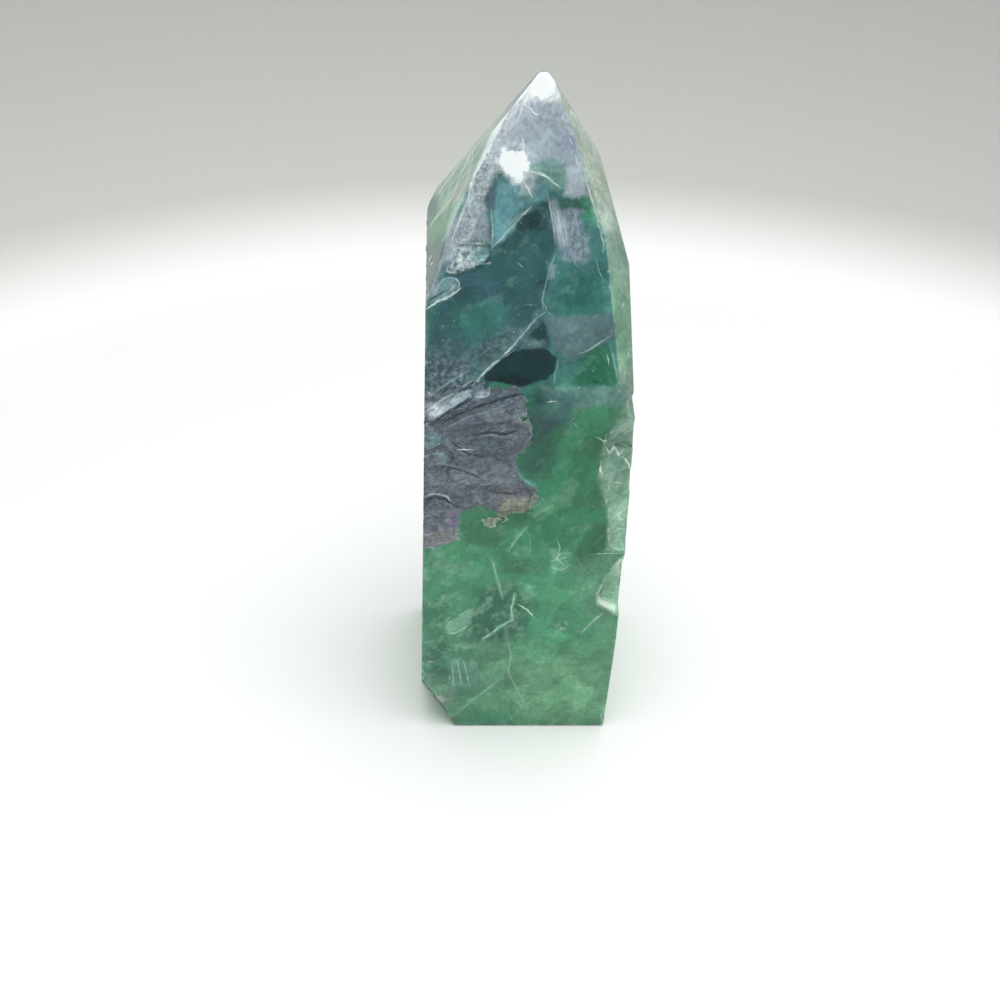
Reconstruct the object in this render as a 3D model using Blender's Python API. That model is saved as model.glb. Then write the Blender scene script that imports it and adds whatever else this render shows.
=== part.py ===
"""Fluorite point: one polished tower of green, teal and purple-grey fluorite, standing upright.

Lengths are millimetres, turned into metres where the mesh is made.
The tower stands on its sawn foot with the origin in the middle of it.
The wide polished front looks along -Y, and +Z is up.
"""

import math
import random

import bmesh
import bpy
from mathutils import Vector

MM = 0.001

# ---------------------------------------------------------------- driving sizes, mm

HEIGHT = 95.0
FRONT_Y = -15.0  # the upright polished front
BACK_Y = 15.0  # the back, at the foot
BLANK = 40.0  # half width of the rough block that the facets are ground from
TIP_X, TIP_Y = 3.4, 2.0  # the tip leans a little to the right of the middle

EDGE_ROUND = 0.35  # polished edges are softened this much
EDGE_STEPS = 2
SMALLEST_EDGE = 0.04  # corners nearer than this are one corner
SPARE = 2.0  # the rough block is this much deeper than the tower
ON_PLANE = 0.0001  # a corner this near a facet's plane lies on it

HEART = Vector((0.0, 0.0, 45.0))  # a point well inside the stone

# Each facet is ground flat through three points that it passes.
FACETS = {
    "back": ((0.0, 15.0, 0.0), (10.0, 15.0, 0.0), (0.0, 14.1, 75.0)),
    "left side": ((-14.65, -15.0, 0.0), (-11.98, -15.0, 55.4), (-16.2, 15.0, 0.0)),
    "right foot": ((14.4, -15.0, 0.0), (15.4, -15.0, 18.0), (15.3, 15.0, 0.0)),
    "right side": ((15.4, -15.0, 18.0), (15.95, -15.0, 47.0), (16.2, 15.0, 50.0)),
    "right neck": ((16.0, -12.0, 50.0), (14.9, -9.0, 70.8), (16.2, 15.0, 50.0)),
    "front facet": ((-11.98, -15.0, 55.4), (14.4, -15.0, 59.5), (TIP_X, TIP_Y, HEIGHT)),
    "back facet": ((3.3, 3.6, 95.0), (-12.0, 14.1, 75.5), (15.2, 14.1, 71.0)),
    "left shoulder": ((-11.43, -8.63, 69.4), (-8.2, -4.6, 78.3), (-12.0, 14.1, 75.6)),
    "left facet": ((-8.2, -4.6, 78.3), (-3.0, -0.7, 88.6), (-8.67, 10.9, 81.5)),
    "left tip": ((-3.0, -0.7, 88.6), (2.1, 1.6, 94.3), (0.4, 5.1, 91.9)),
    "right shoulder": ((14.47, -7.5, 73.6), (11.1, 0.0, 84.2), (15.3, 14.1, 71.0)),
    "right facet": ((11.1, 0.0, 84.2), (7.0, 2.5, 90.7), (10.0, 7.5, 86.0)),
    "right tip": ((7.0, 2.5, 90.7), (4.6, 1.5, 94.3), (5.2, 4.2, 92.9)),
    "edge strip, low": ((13.49, -14.84, 59.7), (12.16, -10.04, 70.0), (15.65, -12.5, 58.1)),
    "edge strip, bend": ((12.16, -10.04, 70.0), (10.25, -5.56, 79.5), (14.47, -7.5, 73.6)),
    "edge strip, high": ((10.25, -5.56, 79.5), (7.02, -1.24, 88.5), (11.1, 0.0, 84.2)),
    "edge strip, tip": ((7.02, -1.24, 88.5), (4.9, 1.0, 93.4), (7.0, 2.5, 90.7)),
}

# ---------------------------------------------------------------- broken and natural surfaces
# A scar is (facet, seen along, corners); each corner is (across, height, depth below the facet).
# "x" facets are read by x and z, "y" facets by y and z. Every scar is one flat-sided hollow.

FRONT = "front"
RIM = 1.2  # how far a scar's cutter stands proud of the facet
LIFT = 0.03  # a corner at depth 0 starts this far above the facet, so that the cut leaves a clean line

SCARS = {
    # the front right edge: a notch where the front bends, then two long breaks with a ledge
    "notch": (FRONT, "x", [
        (15.3, 58.6, 0.0), (14.5, 57.7, 0.1), (14.55, 56.1, 0.3), (15.1, 55.3, 0.1),
        (14.8, 57.2, 3.0), (15.6, 56.9, 8.5), (18.0, 55.3, 8.6), (18.0, 58.7, 8.2),
    ]),
    "long break": (FRONT, "x", [
        (14.0, 55.6, 0.0), (12.8, 53.9, 0.0), (11.8, 52.1, 0.0), (11.35, 48.9, 0.0),
        (11.45, 46.9, 0.0), (12.2, 43.5, 0.0), (12.8, 42.2, 0.0), (15.2, 41.4, 0.1),
        (18.0, 42.6, 3.0), (18.0, 47.5, 4.2), (18.0, 55.2, 2.6),
    ]),
    "long break, upper step": (FRONT, "x", [
        (14.1, 54.6, 0.5), (12.7, 52.2, 0.9), (13.2, 50.9, 1.8), (15.2, 49.7, 3.1),
        (18.0, 48.4, 4.6), (18.0, 54.2, 3.4),
    ]),
    "long break, lower step": (FRONT, "x", [
        (12.5, 47.2, 0.6), (12.9, 44.4, 0.9), (14.4, 42.9, 1.7), (18.0, 43.6, 3.6),
        (18.0, 46.0, 4.7), (14.6, 46.4, 2.6),
    ]),
    "edge wear": (FRONT, "x", [
        (13.0, 42.6, 0.0), (12.9, 39.0, 0.0), (13.4, 35.3, 0.0), (15.0, 34.4, 0.1),
        (18.0, 35.0, 2.2), (18.0, 42.4, 2.8),
    ]),
    "edge nick": (FRONT, "x", [
        (14.4, 40.4, 0.5), (14.7, 38.6, 0.7), (15.6, 38.2, 1.6), (18.0, 38.8, 3.3),
        (18.0, 40.9, 3.3),
    ]),
    "short break": (FRONT, "x", [
        (15.5, 33.7, 0.0), (14.2, 31.7, 0.0), (13.1, 29.6, 0.0), (12.5, 27.6, 0.1),
        (12.1, 25.5, 0.0), (12.55, 25.9, 1.9), (15.1, 23.8, 2.1), (15.1, 22.7, 0.0),
        (18.0, 20.6, 0.6), (18.0, 21.6, 2.6), (18.0, 33.9, 2.6),
    ]),
    "right foot nick": (FRONT, "x", [
        (14.2, 4.4, 0.0), (13.9, 2.6, 0.0), (14.1, 1.2, 0.1), (17.0, 0.6, 2.3), (17.0, 4.9, 2.0),
    ]),
    # the broken foot corner on the left, in two flat breaks
    "corner break": (FRONT, "x", [
        (-14.3, 9.9, 0.0), (-12.7, 8.0, 0.0), (-11.95, 5.4, 0.0), (-8.9, -0.3, 0.0),
        (-10.6, -2.0, 3.4), (-15.0, -2.0, 11.0), (-18.0, -2.0, 12.5), (-18.0, 4.5, 10.5),
        (-18.0, 11.0, 2.6), (-14.6, 5.4, 7.6),
    ]),
    "corner break, lip": (FRONT, "x", [
        (-13.6, 9.7, 0.2), (-12.4, 7.2, 0.6), (-12.6, 5.6, 2.6), (-14.6, 4.4, 6.4),
        (-18.0, 5.2, 8.0), (-18.0, 10.6, 4.0),
    ]),
    # the natural purple-grey ground, left as flaked: shallow overlapping flakes in the front
    "flake under the bend": (FRONT, "x", [
        (-11.2, 54.6, 0.25), (-8.4, 56.3, 0.55), (-4.8, 57.6, 0.5), (0.8, 58.1, 0.15),
        (1.2, 55.6, 0.05), (-2.6, 54.2, 0.1), (-8.2, 53.2, 0.05),
    ]),
    "flake, middle": (FRONT, "x", [
        (-9.4, 54.2, 0.1), (-3.0, 54.9, 0.45), (1.4, 55.0, 0.4), (2.0, 53.2, 0.25),
        (0.2, 50.8, 0.05), (-5.5, 49.9, 0.05), (-9.8, 51.2, 0.05),
    ]),
    "flake, left": (FRONT, "x", [
        (-14.6, 52.9, 0.25), (-10.6, 52.4, 0.3), (-8.1, 49.7, 0.35), (-9.4, 48.0, 0.1),
        (-14.6, 47.2, 0.1),
    ]),
    "flake, heart": (FRONT, "x", [
        (-8.0, 49.8, 0.4), (-2.4, 50.4, 0.35), (-0.2, 48.3, 0.2), (-1.9, 45.6, 0.05),
        (-7.4, 45.3, 0.05), (-9.2, 47.4, 0.15),
    ]),
    "flake, tail": (FRONT, "x", [
        (-1.6, 46.9, 0.35), (0.3, 46.4, 0.5), (2.4, 44.0, 0.35), (1.5, 41.3, 0.15),
        (-2.4, 41.6, 0.05), (-5.0, 43.6, 0.05),
    ]),
    "flake, arc": (FRONT, "x", [
        (-14.6, 42.2, 0.3), (-11.6, 42.6, 0.4), (-8.2, 41.0, 0.3), (-8.6, 37.3, 0.05),
        (-11.2, 35.6, 0.05), (-14.6, 35.4, 0.05),
    ]),
    "flake, left shelf": (FRONT, "x", [
        (-14.6, 46.6, 0.3), (-9.6, 47.0, 0.25), (-6.2, 44.9, 0.3), (-6.0, 42.6, 0.05),
        (-10.0, 43.2, 0.05), (-14.6, 43.0, 0.05),
    ]),
    "flake, stray": (FRONT, "x", [
        (-4.3, 39.9, 0.05), (-1.6, 40.6, 0.3), (-1.2, 39.7, 0.25), (-3.0, 38.5, 0.05),
        (-4.2, 38.8, 0.05),
    ]),
    "bend ledge": ("front facet", "x", [
        (-11.6, 56.2, 0.1), (-9.0, 58.0, 0.45), (-5.6, 60.2, 0.35), (-4.2, 60.0, 0.05),
        (-5.8, 58.4, 0.05), (-11.4, 55.4, 0.05),
    ]),
    # a small natural face that the polish missed, high on the left of the front facet
    "missed face": ("front facet", "x", [
        (-7.4, 75.9, 0.35), (-3.3, 76.0, 0.45), (-3.2, 75.1, 0.4), (-4.0, 73.95, 0.3),
        (-7.7, 72.7, 0.3), (-8.8, 72.8, 0.3), (-7.95, 74.3, 0.3),
    ]),
    "curled crack": ("front facet", "x", [
        (-11.6, 69.3, 0.35), (-9.6, 70.3, 0.3), (-7.9, 71.2, 0.05), (-9.4, 69.9, 0.05),
        (-11.4, 68.6, 0.1),
    ]),
    # the left side: a raw hollow with a stepped floor behind the middle, and worn edges
    "left hollow": ("left side", "y", [
        (1.6, 39.2, 0.9), (2.6, 43.8, 1.1), (5.2, 46.9, 0.8), (8.1, 47.4, 0.4), (8.9, 43.1, 0.9),
        (7.2, 38.4, 1.0), (3.9, 36.2, 0.7),
    ]),
    "left hollow, shelf": ("left side", "y", [
        (5.9, 42.4, 0.5), (8.2, 45.2, 0.6), (11.6, 44.1, 0.35), (12.3, 39.6, 0.2), (8.8, 36.7, 0.5),
    ]),
    "left hollow, tail": ("left side", "y", [
        (4.4, 38.8, 0.7), (7.6, 38.2, 0.6), (8.0, 33.7, 0.35), (5.8, 30.4, 0.1), (3.8, 33.4, 0.4),
    ]),
    "left hollow, well": ("left side", "y", [
        (3.3, 41.6, 1.2), (5.2, 45.1, 1.6), (7.0, 42.6, 1.5), (5.6, 39.0, 1.3),
    ]),
    "left back edge wear": ("left side", "y", [
        (14.0, 33.6, 0.0), (12.9, 30.9, 0.0), (13.2, 26.8, 0.0), (14.3, 24.6, 0.0),
        (18.0, 24.0, 2.6), (18.0, 34.2, 2.9),
    ]),
    # the right side: a raw hollow low down, and a shallow flake off the shoulder
    "right hollow": ("right side", "y", [
        (-0.6, 29.8, 0.8), (-0.2, 33.9, 1.1), (2.1, 36.9, 1.0), (5.2, 37.3, 0.6), (6.6, 33.2, 1.1),
        (4.9, 28.4, 0.9), (1.8, 27.2, 0.6),
    ]),
    "right hollow, shelf": ("right side", "y", [
        (3.8, 31.4, 0.7), (6.0, 34.4, 0.6), (9.3, 32.0, 0.4), (10.4, 27.3, 0.2), (7.4, 24.6, 0.4),
        (4.6, 26.6, 0.6),
    ]),
    "right hollow, lip": ("right side", "y", [
        (-3.9, 37.6, 0.1), (-1.1, 40.4, 0.4), (2.9, 38.9, 0.7), (1.6, 35.0, 0.8), (-1.6, 34.2, 0.4),
    ]),
    "right shoulder chip": ("right shoulder", "y", [
        (11.4, 71.9, 0.0), (10.3, 74.1, 0.0), (10.8, 76.7, 0.1), (15.4, 77.6, 2.2),
        (16.2, 71.2, 2.4),
    ]),
    # the back: broken edges, a broken foot edge, and one large raw hollow
    "back edge break, left": ("back", "x", [
        (-13.0, 61.5, 0.0), (-14.2, 57.5, 0.0), (-14.4, 52.5, 0.0), (-18.0, 49.5, 2.4),
        (-18.0, 64.5, 3.2), (-12.6, 63.6, 0.1),
    ]),
    "back edge break, right": ("back", "x", [
        (14.9, 27.5, 0.0), (12.7, 22.5, 0.0), (12.2, 17.0, 0.1), (12.9, 15.9, 1.8),
        (18.0, 14.0, 2.6), (18.0, 29.0, 2.8),
    ]),
    "back foot break": ("back", "x", [
        (2.0, -1.0, 2.6), (2.6, 0.6, 0.0), (6.0, 3.6, 0.0), (10.5, 2.6, 0.0), (12.5, -1.0, 0.2),
        (11.5, -2.0, 2.4),
    ]),
    "back hollow": ("back", "x", [
        (-5.9, 37.6, 0.9), (-6.3, 41.9, 1.2), (-3.6, 45.9, 1.0), (0.8, 47.1, 0.6), (2.9, 43.4, 1.2),
        (1.7, 38.8, 1.3), (-2.2, 35.9, 0.8),
    ]),
    "back hollow, shelf": ("back", "x", [
        (0.2, 41.8, 0.9), (2.3, 45.4, 0.8), (6.4, 44.6, 0.5), (8.3, 39.9, 0.3), (5.6, 36.4, 0.5),
        (1.4, 37.2, 0.8),
    ]),
    "back hollow, tail": ("back", "x", [
        (-4.7, 37.7, 0.7), (-1.2, 37.9, 0.9), (0.4, 33.2, 0.5), (-1.4, 28.9, 0.1),
        (-3.9, 32.1, 0.4),
    ]),
    "back hollow, well": ("back", "x", [
        (-4.2, 40.2, 1.5), (-2.8, 43.6, 1.9), (0.3, 43.2, 1.8), (0.6, 40.1, 1.6), (-2.0, 38.7, 1.4),
    ]),
    "back bend nick": ("back", "x", [
        (-1.8, 72.4, 0.1), (-0.9, 70.6, 0.0), (1.7, 70.1, 0.0), (3.9, 71.3, 0.1), (4.6, 75.6, 1.8),
        (-2.4, 76.4, 1.9),
    ]),
}

# Small round pits: (facet, seen along, across, height, radius, depth)
PITS = [
    (FRONT, "x", 7.1, 20.8, 0.5, 0.45),
    (FRONT, "x", -12.5, 13.0, 0.45, 0.3),
    (FRONT, "x", 10.2, 8.5, 0.35, 0.25),
    ("back", "x", -6.0, 20.0, 0.6, 0.4),
    ("back", "x", 6.5, 58.0, 0.5, 0.4),
    ("left side", "y", -7.0, 18.0, 0.5, 0.35),
    ("right side", "y", 8.5, 52.0, 0.5, 0.35),
]
PIT_SIDES = 10

# Pits of the missed natural face stand in rows along the growth lines of the crystal.
GRAIN_ROWS = 3
GRAIN_PER_ROW = 6
GRAIN_START = Vector((-7.7, 73.6))
GRAIN_STEP = Vector((0.72, 0.14))
GRAIN_ROW_STEP = Vector((0.35, 0.72))
GRAIN_RADIUS, GRAIN_DEPTH = 0.22, 0.22
GRAIN_FLOOR = 0.33
GRAIN_STRAY = 0.12  # a pit stands up to this far out of line
GRAIN_SMALLEST, GRAIN_LARGEST = 0.7, 1.1  # shares of the radius

# ---------------------------------------------------------------- planes and points


def facet_plane(name):
    """A point of the facet and its outward unit normal, in mm."""
    if name == FRONT:
        return Vector((0.0, FRONT_Y, 0.0)), Vector((0.0, -1.0, 0.0))
    a, b, c = (Vector(corner) for corner in FACETS[name])
    normal = (b - a).cross(c - a).normalized()
    if normal.dot(HEART - a) > 0.0:
        normal.negate()
    return a, normal


def on_facet(name, seen_along, across, height, depth=0.0):
    """The place on a facet at a given width and height, sunk below it by depth, in mm."""
    point, normal = facet_plane(name)
    if seen_along == "x":
        rest = normal.x * (across - point.x) + normal.z * (height - point.z)
        place = Vector((across, point.y - rest / normal.y, height))
    else:
        rest = normal.y * (across - point.y) + normal.z * (height - point.z)
        place = Vector((point.x - rest / normal.x, across, height))
    return place - normal * depth


# ---------------------------------------------------------------- making the solids


def mesh_object(name, bm):
    """A new object from a bmesh in mm, with its normals outward, in metres."""
    bmesh.ops.recalc_face_normals(bm, faces=bm.faces)
    bmesh.ops.scale(bm, vec=(MM, MM, MM), verts=bm.verts)
    mesh = bpy.data.meshes.new(name)
    bm.to_mesh(mesh)
    bm.free()
    thing = bpy.data.objects.new(name, mesh)
    bpy.context.scene.collection.objects.link(thing)
    return thing


def grind(bm, name):
    """Grinds one flat facet: all that stands outside its plane goes."""
    point, normal = facet_plane(name)
    everything = bm.verts[:] + bm.edges[:] + bm.faces[:]
    cut = bmesh.ops.bisect_plane(bm, geom=everything, dist=ON_PLANE, plane_co=point, plane_no=normal,
                                 clear_outer=True)
    rim = [part for part in cut["geom_cut"] if isinstance(part, bmesh.types.BMEdge)]
    bmesh.ops.edgeloop_fill(bm, edges=rim)


def ground_tower():
    """The polished tower before anything broke off it."""
    bm = bmesh.new()
    bmesh.ops.create_cube(bm, size=1.0)
    depth = BACK_Y - FRONT_Y + SPARE
    bmesh.ops.scale(bm, vec=(2.0 * BLANK, depth, HEIGHT), verts=bm.verts)
    bmesh.ops.translate(bm, vec=(0.0, FRONT_Y + depth / 2.0, HEIGHT / 2.0), verts=bm.verts)
    for name in FACETS:
        grind(bm, name)
    bmesh.ops.remove_doubles(bm, verts=bm.verts, dist=SMALLEST_EDGE)
    bmesh.ops.bevel(bm, geom=bm.edges[:], offset=EDGE_ROUND, offset_type="OFFSET", segments=EDGE_STEPS,
                    profile=0.5, affect="EDGES", clamp_overlap=True)
    bmesh.ops.remove_doubles(bm, verts=bm.verts, dist=SMALLEST_EDGE)
    bmesh.ops.dissolve_degenerate(bm, edges=bm.edges, dist=SMALLEST_EDGE)
    bmesh.ops.triangulate(bm, faces=bm.faces)
    return mesh_object("fluorite_point", bm)


def hull_cutter(name, points):
    """A hidden cutter with flat sides round the given points, in mm."""
    bm = bmesh.new()
    for point in points:
        bm.verts.new(point)
    hull = bmesh.ops.convex_hull(bm, input=bm.verts)
    bmesh.ops.delete(bm, geom=list(set(hull["geom_interior"] + hull["geom_unused"])), context="VERTS")
    return hide_cutter(mesh_object(name, bm))


def hide_cutter(cutter):
    cutter.hide_render = True
    cutter.display_type = "WIRE"
    return cutter


def scar_cutter(name):
    """The hollow of one scar: its floor at the corners' depths, open through the facet."""
    facet, seen_along, corners = SCARS[name]
    floor = [on_facet(facet, seen_along, across, height, depth - LIFT) for across, height, depth in corners]
    proud = [on_facet(facet, seen_along, across, height, -RIM) for across, height, _ in corners]
    return hull_cutter("scar " + name, floor + proud)


def pit_cutter(name, facet, seen_along, across, height, radius, depth, floor=0.0):
    """A cone that leaves a round pit of the given radius and depth."""
    point, normal = facet_plane(facet)
    centre = on_facet(facet, seen_along, across, height, floor)
    side = normal.orthogonal()
    spread = (depth + RIM) / depth
    ring = []
    for step in range(PIT_SIDES):
        angle = 2.0 * math.pi * step / PIT_SIDES
        swing = side * math.cos(angle) + normal.cross(side) * math.sin(angle)
        ring.append(centre + normal * RIM + swing * radius * spread)
    return hull_cutter(name, ring + [centre - normal * depth])


def carve(stone, cutter):
    """Takes the cutter's shape out of the stone."""
    cut = stone.modifiers.new(cutter.name, "BOOLEAN")
    cut.operation = "DIFFERENCE"
    cut.solver = "EXACT"
    cut.object = cutter


def grain_pits():
    """The pits of the missed natural face, a little out of line, in the same places each time."""
    scatter = random.Random(7)
    cutters = []
    for row in range(GRAIN_ROWS):
        for step in range(GRAIN_PER_ROW - row):
            place = GRAIN_START + GRAIN_ROW_STEP * row + GRAIN_STEP * step
            across = place.x + scatter.uniform(-GRAIN_STRAY, GRAIN_STRAY)
            height = place.y + scatter.uniform(-GRAIN_STRAY, GRAIN_STRAY)
            radius = GRAIN_RADIUS * scatter.uniform(GRAIN_SMALLEST, GRAIN_LARGEST)
            cutters.append(pit_cutter(f"grain pit {row} {step}", "front facet", "x", across, height,
                                      radius, GRAIN_DEPTH, GRAIN_FLOOR))
    return cutters


def fluorite():
    """Polished green fluorite, cloudy and glassy."""
    material = bpy.data.materials.new("fluorite")
    material.use_nodes = True
    shader = material.node_tree.nodes["Principled BSDF"]
    shader.inputs["Base Color"].default_value = (0.055, 0.235, 0.135, 1.0)
    shader.inputs["Roughness"].default_value = 0.12
    shader.inputs["Metallic"].default_value = 0.0
    shader.inputs["IOR"].default_value = 1.434
    return material


def build():
    for thing in list(bpy.data.objects):
        bpy.data.objects.remove(thing)
    stone = ground_tower()
    stone.data.materials.append(fluorite())
    for name in SCARS:
        carve(stone, scar_cutter(name))
    for number, (facet, seen_along, across, height, radius, depth) in enumerate(PITS):
        carve(stone, pit_cutter(f"pit {number}", facet, seen_along, across, height, radius, depth))
    for cutter in grain_pits():
        carve(stone, cutter)


build()
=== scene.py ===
"""Looks of the fluorite point: a polished tower of green, teal and purple-grey fluorite.

Lengths here are millimetres, turned into metres where a mesh is made.
The stone is a refined copy of the CAD solid: its facets stay where they are ground, its broken
and natural surfaces get their roughness, and its colour zones are laid on one after another.
"""

import math
from collections import namedtuple

import bpy
import numpy as np
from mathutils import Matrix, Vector, noise


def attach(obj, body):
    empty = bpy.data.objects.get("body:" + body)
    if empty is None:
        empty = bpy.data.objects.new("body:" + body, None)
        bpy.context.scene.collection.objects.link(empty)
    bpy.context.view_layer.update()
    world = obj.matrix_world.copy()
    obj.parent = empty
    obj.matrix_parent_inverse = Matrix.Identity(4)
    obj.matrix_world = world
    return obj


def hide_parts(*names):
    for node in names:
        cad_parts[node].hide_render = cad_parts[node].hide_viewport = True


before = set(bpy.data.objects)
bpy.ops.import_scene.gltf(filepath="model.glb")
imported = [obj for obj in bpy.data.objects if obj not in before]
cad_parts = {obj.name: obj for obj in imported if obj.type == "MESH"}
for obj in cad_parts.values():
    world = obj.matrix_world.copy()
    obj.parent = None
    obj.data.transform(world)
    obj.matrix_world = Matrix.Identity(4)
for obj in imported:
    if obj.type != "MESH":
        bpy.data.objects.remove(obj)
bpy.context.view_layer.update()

MM = 0.001
NODE = "fluorite_point"

# ---------------------------------------------------------------- the camera and the light

CAMERA_AT = (-2.06, -135.47, 121.19)
CAMERA_DOWN = 33.0  # degrees below the level
SENSOR = 36.0
LENS = 37.73
NEAREST_SEEN, FURTHEST_SEEN = 1.0, 5000.0

DAYLIGHT = 0.59  # how strong the light from all round is
BOX_AT, BOX_AIM, BOX_SIZE, BOX_WATTS = (58.0, -60.0, 475.0), (0.0, 0.0, 20.0), 400.0, 2.0
BOX_COLOUR = (1.0, 1.0, 0.99)

FLOOR_RADIUS = 182.0  # the paper is flat this far, then turns up all round
BEND_RADIUS = 20.0
WALL_HEIGHT = 250.0
BEND_STEPS = 12
ROUND_STEPS = 128

# ---------------------------------------------------------------- the mesh

FINE = 0.37  # longest edge on the polished front, mm
FINEST = 0.3  # on broken and natural surfaces, and on the purple-grey ground
MIDDLING = 0.55  # on the left facets, which are seen from the front
COARSE = 1.0  # and on the other polished sides
NEAR_FRONT = 0.8  # the front's mesh goes this far behind it
ROUND_GROUND = 0.6  # and the ground's goes this far beyond its border
LEFT_FACETS = 72.0  # the left facets start at this height
LONGER = 1.35  # an edge is halved if it is this many times too long
PASSES = 12
EVEN_UP_BELOW = 50000  # the triangles are evened out while there are fewer than this
MERGE = 0.0001
FLAT_ANGLE = 0.3  # degrees
SMOOTH_ANGLE = 35.0
OUTSIDE_BY = 0.02  # a face is polished if nothing stands further than this in front of it
BRUISED = 0.15, 0.5  # an edge starts to be bruised, and wholly is, where its faces' normals differ by this

FRONT_Y = -15.0
SIDE_X = 16.2  # half the stone's width
FACET_FOOT = 56.0  # the front leans back above this height
FACET_LEAN = 24.5  # degrees
TURNED = 0.25, 0.6  # a point starts to be on a side, and wholly is, where it turns this far towards it
TURNED_AWAY = -0.3  # a broken point that turns further away than this is never on that side
BROKEN_FRONT = 6.0, 3.0  # a broken point ends to be on the front, and wholly is, this far behind it, mm
BROKEN_SIDE = 3.6, 2.4  # and on the other sides

# The relief of the broken and the natural surfaces: its kind, the size of its lumps and its height in mm,
# and the level of its pattern that stays where it is.
RELIEF = [("broken", "VORONOI", 1.6, 0.30, 0.5), ("broken", "CLOUDS", 0.6, 0.16, 0.5),
          ("ground", "VORONOI", 1.3, 0.22, 0.9), ("ground", "CLOUDS", 0.5, 0.10, 0.8)]
RELIEF_RISES = 0.8  # the ground's relief reaches its height this far inside its border, mm

# ---------------------------------------------------------------- how the stone's colours are laid on
# The stone is drawn by sides. Points are across,height in mm on the front and the back, and depth,height on
# the left and the right.
#
# A stain is laid over what is under it. cover is how much it hides, soft the width of its border and wobble
# how far that border wanders, in mm. A stain may bring its own clearness and one of GRAINS.
# A vein is a soft band along a line.
# A crack is a hairline. Like the sharp borders it is finer than the mesh: the points only keep how far they
# are from it, and the material draws it where that distance is small. A real one is some hundredths of a
# millimetre wide, so it is drawn coarser, from 0.14 mm, to show.

Stain = namedtuple("Stain", "side colour cover soft wobble clear grain outline")
Vein = namedtuple("Vein", "side colour cover width soft wobble clear points")
Crack = namedtuple("Crack", "side colour cover width points")

GRAINS = {"streaks": 0.3, "specks": 0.5, "frost": 0.2, "wisps": 0.0}  # how matt each leaves the surface

BODY_COLOUR = "#51A77B"
BODY_CLEAR = 0.5
GROUND_COLOUR = "#6A7480"

DRIFT_SEED = 11  # the stains' borders wander in the same way on each run
DRIFT_SIZES = (3.1, 1.6), (0.9, 0.96)  # the sizes of their wandering in mm, and how far each goes
DRIFT_APART = Vector((7.3, 1.1, 4.7))

BORDER_REACH = 2.0  # distances from sharp borders are kept this far, mm
REACH = {"front": 0.42, "left": 0.8, "right": 1.3, "back": 1.3}  # and from cracks, by how coarse the mesh is
TAPER = 1.2  # a crack narrows over this length, mm
TAPER_LEAST = 0.3  # to this share of its width
TAPER_END = 0.3  # and fades out within this, mm
NO_LINE = 10.0  # what a point far from all cracks keeps, in half widths
CRACK_DRAWN = 1.25, 0.55  # a crack starts to show, and wholly does, this many half widths from its middle


def points(text):
    return [tuple(float(number) for number in word.split(",")) for word in text.split() if "," in word]


def rows(table):
    """The rows of a table: each starts with its colour and ends with its points."""
    for row in table.split("#")[1:]:
        line = points(row)
        colour, *values = row.split()[:-len(line)]
        yield "#" + colour, values, line


def stains(side, table):
    """Stains on one side. A row says colour, cover, soft and wobble, then clear and a grain if it has them."""
    for colour, values, outline in rows(table):
        grain = values.pop() if values[-1] in GRAINS else None
        cover, soft, wobble, clear = [float(value) for value in values] + [None] * (4 - len(values))
        yield Stain(side, colour, cover, soft, wobble, clear, grain, outline)


def veins(side, table):
    """Veins on one side. A row says colour, cover, width, soft, wobble and clear."""
    return [Vein(side, colour, *map(float, values), line) for colour, values, line in rows(table)]


def cracks(side, table):
    """Cracks on one side. A row says colour, cover and width."""
    return [Crack(side, colour, *map(float, values), line) for colour, values, line in rows(table)]


# The natural faces that were left unpolished, by side. They have layers of their own colours.
PURPLE_GROUND = points("""
    -16,58.4 -11.8,58.5 -9.9,58.6 -7.8,59.4 -5.5,59.6 -3.4,59.5 -0.2,59.8 1,58.9 1.3,57 0.9,55.5 2.2,54.6
    1.8,51.9 0.3,50.3 -0.1,48.4 0.8,46.6 2.7,44.6 3.3,43.5 1.8,40.9 -1.3,40.5 -3.5,41.6 -4.9,42.2 -7.4,41.1
    -7.9,38.4 -7.8,36.6 -9.2,35.7 -12.1,34.9 -16,34.6""")
GROUNDS = [
    ("front", PURPLE_GROUND),
    ("front", points("-4.4,39.5 -1.4,40.4 -1.8,39.2 -3.8,38.5")),
    ("left", points("-15.5,58.6 -13.4,58 -13,52 -13.6,46 -13,40 -13.9,34.6 -15.5,34.6")),
    ("left", points("1,39.5 2,44.4 5,47.8 8.6,48.2 12.4,44.8 13,39.4 9,35.9 8.4,33.2 6,29.6 3.2,33 3,36")),
    ("right", points("""-1.4,29.4 -2.6,34 -4.6,37.8 -1.2,41.3 3.5,39.6 6,37.9 9.9,32.4 11.2,27 7.4,23.8
                        4.4,26 1.5,26.4""")),
    ("back", points("""-6.9,37.4 -7.2,42.2 -4,46.8 1.4,47.9 7,45.4 9,39.8 5.8,35.6 1.2,36 0.9,32.8 -1.4,28
                       -4.6,31.8""")),
]

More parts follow.
